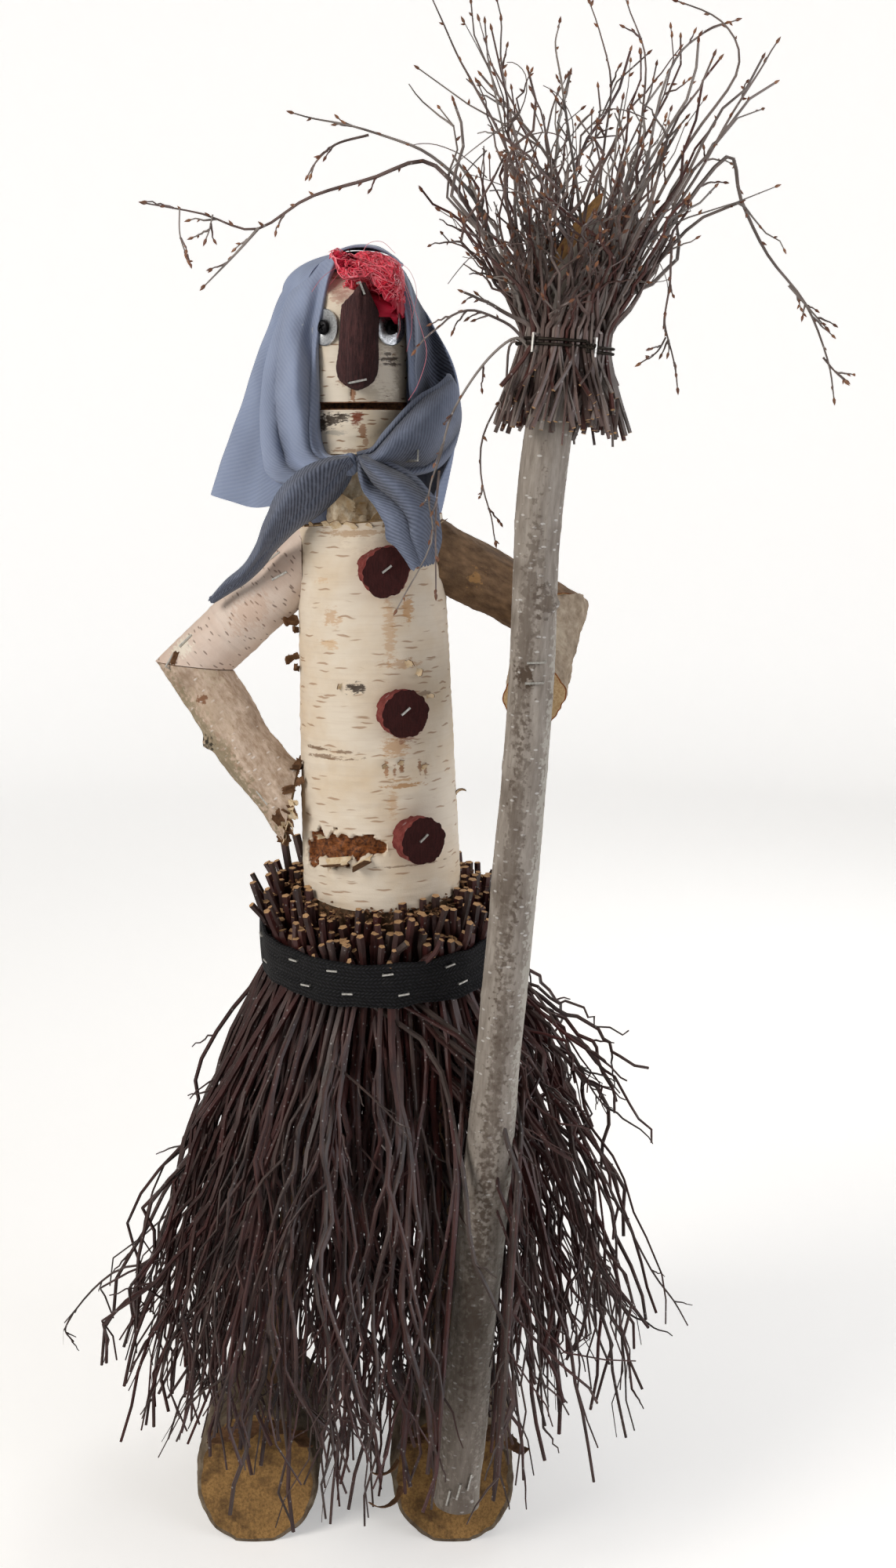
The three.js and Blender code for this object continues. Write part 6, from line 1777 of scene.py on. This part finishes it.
TORSO_CURLS = (
    (-30, 26, (0.2, 0, -1), 17, 13, 6),
    (-12, 25, (0.6, 0, -1), 15, 12, 4.5),
    (-45, 35, (-0.4, 0, 1), 6, 7, 4),
    (24, 146, (0.9, 0, 0.5), 5, 9, 5),
    (32, 143, (1, 0, -0.3), 5, 8, 4),
    (42, 126, (1, 0, 0.1), 3, 6, 4),
    (18, 83, (0.1, 0, 1), 3.5, 7, 6),
    (36, 80, (0.3, 0, 1), 3.5, 7, 5),
    (8, 82, (-0.5, 0, 1), 3, 6, 5),
    (84, 58, (1, 0, 0.2), 4, 8, 4),
    (-86, 150, (-1, 0, -0.5), 4, 10, 4),
    (-22, 133, (-1, 0, 0.2), 4, 5, 3),
)
LOOSE_CURLS = (
    ((-48, -8, 593), (-0.2, -1, 0.2), (-1, 0.1, -0.35), 6, 15, 9),
    ((-48, -8, 586), (0.1, -1, 0.3), (-1, 0, -0.1), 4, 10, 5),
    ((-48, -8, 570), (-0.2, -1, -0.2), (-1, 0, -0.3), 5, 15, 8),
    ((-48, -8, 561), (0.2, -1, 0.3), (-1, 0, 0.1), 4, 11, 5),
    ((-121, -10, 566), (-0.3, -1, 0.3), (-1, 0, 0.3), 9, 9, 8),
    ((16, -83, 40), (-0.8, -0.4, 0.1), (0.3, -0.3, -1), 8, 30, 14),
    ((14, -80, 56), (-0.9, -0.3, 0.2), (-0.4, -0.4, -1), 5, 22, 12),
    ((84, -72, 66), (0.6, -0.6, 0.5), (0.5, -0.2, -1), 9, 17, 14),
    ((-100, -62, 68), (-0.3, -0.6, 0.8), (-0.3, -1, -0.2), 16, 18, 22),
    ((-84, -64, 74), (-0.1, -0.6, 0.8), (-0.1, -1, -0.3), 18, 20, 24),
    ((-68, -63, 74), (0.2, -0.6, 0.8), (0.3, -1, -0.3), 16, 17, 20),
    ((-52, -62, 66), (0.5, -0.6, 0.6), (0.4, -1, -0.5), 12, 16, 18),
    ((28, -62, 68), (-0.4, -0.6, 0.7), (-0.3, -1, -0.3), 16, 17, 20),
    ((70, -62, 70), (0.3, -0.6, 0.8), (0.3, -1, -0.3), 16, 18, 22),
)
NECK_FLAKES, HAND_RAGS = 11, 30


def make_curls():
    """Flakes and curls of bark that have come away from the logs."""
    draw = random.Random(settings().seed + 4)
    between = draw.uniform
    bag = Sheets()
    for turn, height, heading, width, length, radius in TORSO_CURLS:
        point, out = surface_point(WAIST, TORSO_AXIS, TORSO_RADII, TORSO_LENGTH, turn, height)
        bag.add(curl_net(point - out * 0.4, out, heading, width, length, radius, draw), 0.45)
    for point, normal, heading, width, length, radius in LOOSE_CURLS:
        bag.add(curl_net(point, normal, heading, width, length, radius, draw), 0.6, pick=1)
    for _ in range(NECK_FLAKES):
        foot = Vector((NECK_X, 0, NECK_FOOT))
        point, out = surface_point(foot, UP, NECK_RADII, 44, between(-50, 62), between(8, 32))
        size = between(5, 10), between(7, 13), between(9, 18)
        heading = between(-0.6, 0.6), 0, draw.choice((-1, 1))
        bag.add(curl_net(point - out * 0.3, out, heading, *size, draw), 0.5, pick=0)
    axis = unit(RIGHT_HAND - RIGHT_ELBOW)
    up = np.array([sin(HAND_CUT_LEAN), 0, cos(HAND_CUT_LEAN)])
    for _ in range(HAND_RAGS):
        turn = between(-0.35, pi + 0.25)
        out = cos(turn) * up + sin(turn) * np.array(FRONT)
        point = np.array(RIGHT_HAND) + 24.5 * cos(turn) * up + 18.2 * sin(turn) * np.array(FRONT)
        point = point - axis * between(0, 5)
        heading = axis * between(-0.9, 0.9) + (0.7, 0, 0) + np.cross(axis, out) * between(-1, 1)
        size = between(4, 9), between(5, 11), between(4, 12)
        bag.add(curl_net(point - out * 0.5, out, heading, *size, draw), 0.5, pick=int(draw.random() < 0.8))
    for turn in range(-84, 96, 12):
        turn = turn + between(-4, 4)
        point, out = surface_point(WAIST, TORSO_AXIS, TORSO_RADII, TORSO_LENGTH, turn, TORSO_LENGTH - 4)
        heading, size = (between(-0.5, 0.5), 0, 1), (between(3, 8), between(4, 7), 6)
        bag.add(curl_net(point - out * 0.5, out, heading, *size, draw), 0.4)
    piece = bag.make("bark_curls", ("white birch curl", "brown birch curl"))
    settle(piece, "birch_bark")


CRUMBS, CRUMB_RING = 420, (51, 63)


def make_crumbs():
    """Shavings and bark crumbs that lie on the stubs round the torso's foot."""
    draw = random.Random(settings().seed + 5)
    between = draw.uniform
    bag = Strands(5)
    for _ in range(CRUMBS):
        turn, radius = between(0, 2 * pi), between(*CRUMB_RING)
        centre = on_skirt(radius, turn, between(-1, 3.5) - (radius - CRUMB_RING[0]) * 0.25)
        way = unit(jitter(draw, 1, 1, 0.35))
        length = between(1.5, 5)
        bend = np.array([0, 0, between(-0.6, 0.8)])
        path = np.array([centre - way * length / 2, centre + bend, centre + way * length / 2])
        bag.add(path, np.array([0.3, between(0.5, 1.1), 0.25]), draw.random())
    piece = bag.make("waist_crumbs", ("brown birch curl",))
    settle(piece, "sawn_wood")


PLAIN = (
    ("hip_core", "grown grey bark"),
    ("leg_right", "grown grey bark"),
    ("leg_left", "grown grey bark"),
    ("dowel", "beech dowel"),
    ("staple", "galvanised staple wire"),
)


def dress_plain():
    """The frame's nodes that stay to be seen take their real finish."""
    for node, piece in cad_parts.items():
        for word, look in PLAIN:
            if word in node:
                piece.data.materials.clear()
                piece.data.materials.append(finish(look))
                piece.data.shade_smooth()
                piece.data.set_sharp_from_angle(angle=radians(40))


# Stage
LIGHTS = (
    ("key_softbox", (-1500, -1050, 1500), 1.1, 27, "fffaf4"),
    ("fill_softbox", (1500, -900, 1000), 1.5, 14, "f6f8ff"),
    ("rim_softbox", (700, 1400, 1500), 1.0, 10, "ffffff"),
)
LIGHTS_AIM = (0, 0, 450)
CAMERA_PLACE = (46.0, -1200.0, 705.0)
CAMERA_PITCH = 10.39
CAMERA_LENS = 43.2


def make_stage():
    """Pale floor that rises into a backdrop, soft lights and the photograph's camera."""
    scene = bpy.context.scene
    scene.view_settings.view_transform = "Standard"
    lens = bpy.data.cameras.new("photo_camera")
    lens.lens, lens.sensor_width, lens.clip_end = CAMERA_LENS, 36.0, 50.0
    camera = placed("photo_camera", lens)
    camera.location = at(*CAMERA_PLACE)
    camera.rotation_euler = (radians(90 - CAMERA_PITCH), 0, 0)
    scene.camera = camera

    pale = {"Base_Color": linear("f4f3f1"), "Emission_Color": linear("ffffff")}
    paper, add = new_finish("matt backdrop paper", 0.95, Specular_IOR_Level=0.1, **pale)
    seen = add("LightPath", out="Is Camera Ray")
    reach = add("VectorMath", millimetres(add), operation="LENGTH", out="Value")
    level = add("MapRange", reach, 700.0, 3200.0, 0.34, 0.62)
    glow = add("Math", seen, level, operation="MULTIPLY")
    link(paper, Emission_Strength=glow)
    profile = [(0.001, 0.0), (900, 0.0), (1800, 0.0), (2600, 0.0)]
    profile += [(2600 + 900 * sin(a), 900 - 900 * cos(a)) for a in np.linspace(0.1, pi / 2, 16)]
    profile += [(3500, 2500), (3500, 4200)]
    floor = lathe("studio_floor", profile, [paper.name], FIGURE, 96)

    world = bpy.data.worlds.new("soft_room")
    world.use_nodes = True
    sky = world.node_tree.nodes["Background"]
    sky.inputs["Color"].default_value = linear("f2f4f8")
    sky.inputs["Strength"].default_value = 0.61
    scene.world = world
    for name, place, size, power, colour in LIGHTS:
        data = bpy.data.lights.new(name, "AREA")
        data.shape, data.size, data.energy, data.color = "DISK", size, power, linear(colour)[:3]
        lamp = placed(name, data)
        lamp.location = at(*place)
        lamp.rotation_euler = (at(*LIGHTS_AIM) - lamp.location).to_track_quat("-Z", "Y").to_euler()


# Operators and panel
def operator(idname, label, work):
    """A Blender operator that does one piece of the work, described by its function's own words."""

    def execute(self, context):
        work()
        return {"FINISHED"}

    parts = {"bl_idname": "witch." + idname, "bl_label": label, "bl_options": {"REGISTER", "UNDO"}}
    parts.update(__doc__=work.__doc__, execute=execute)
    return type("WITCH_OT_" + idname, (bpy.types.Operator,), parts)


OPERATORS = [
    operator("torso", "Torso log", make_torso),
    operator("head", "Head and neck", make_head),
    operator("arms", "Arms", make_arms),
    operator("shoes", "Shoes", make_shoes),
    operator("handle", "Broom handle", make_handle),
    operator("buttons", "Buttons", make_buttons),
    operator("face", "Eyes and nose", make_face),
    operator("skirt", "Skirt", make_skirt),
    operator("broom", "Broom", make_broom),
    operator("belt", "Belt", make_belt),
    operator("scarf", "Headscarf", make_scarf),
    operator("hair", "Hair", make_hair),
    operator("curls", "Loose bark", make_curls),
    operator("crumbs", "Crumbs", make_crumbs),
    operator("plain", "Staples and core", dress_plain),
    operator("stage", "Stage", make_stage),
]


class WITCH_PT_figure(bpy.types.Panel):
    """Lists the figure's settings and the operators that build it."""

    bl_label = "Witch figure"
    bl_idname = "WITCH_PT_figure"
    bl_space_type = "VIEW_3D"
    bl_region_type = "UI"
    bl_category = "Figure"

    def draw(self, context):
        own = context.scene.witch_settings
        for name in own.__annotations__:
            self.layout.prop(own, name)
        for made in OPERATORS:
            self.layout.operator(made.bl_idname)


CLASSES = [WitchSettings, *OPERATORS, WITCH_PT_figure]


def register():
    """Adds the settings, operators and panel to Blender."""
    for made in CLASSES:
        bpy.utils.register_class(made)
    bpy.types.Scene.witch_settings = PointerProperty(type=WitchSettings)


def unregister():
    """Takes the settings, operators and panel out of Blender."""
    del bpy.types.Scene.witch_settings
    for made in reversed(CLASSES):
        bpy.utils.unregister_class(made)


def main():
    """Builds the whole figure and notes its size."""
    register()
    for made in OPERATORS:
        group, name = made.bl_idname.split(".")
        if getattr(getattr(bpy.ops, group), name)() != {"FINISHED"}:
            raise RuntimeError("not finished: " + made.bl_idname)
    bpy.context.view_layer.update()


if __name__ == "__main__":
    main()
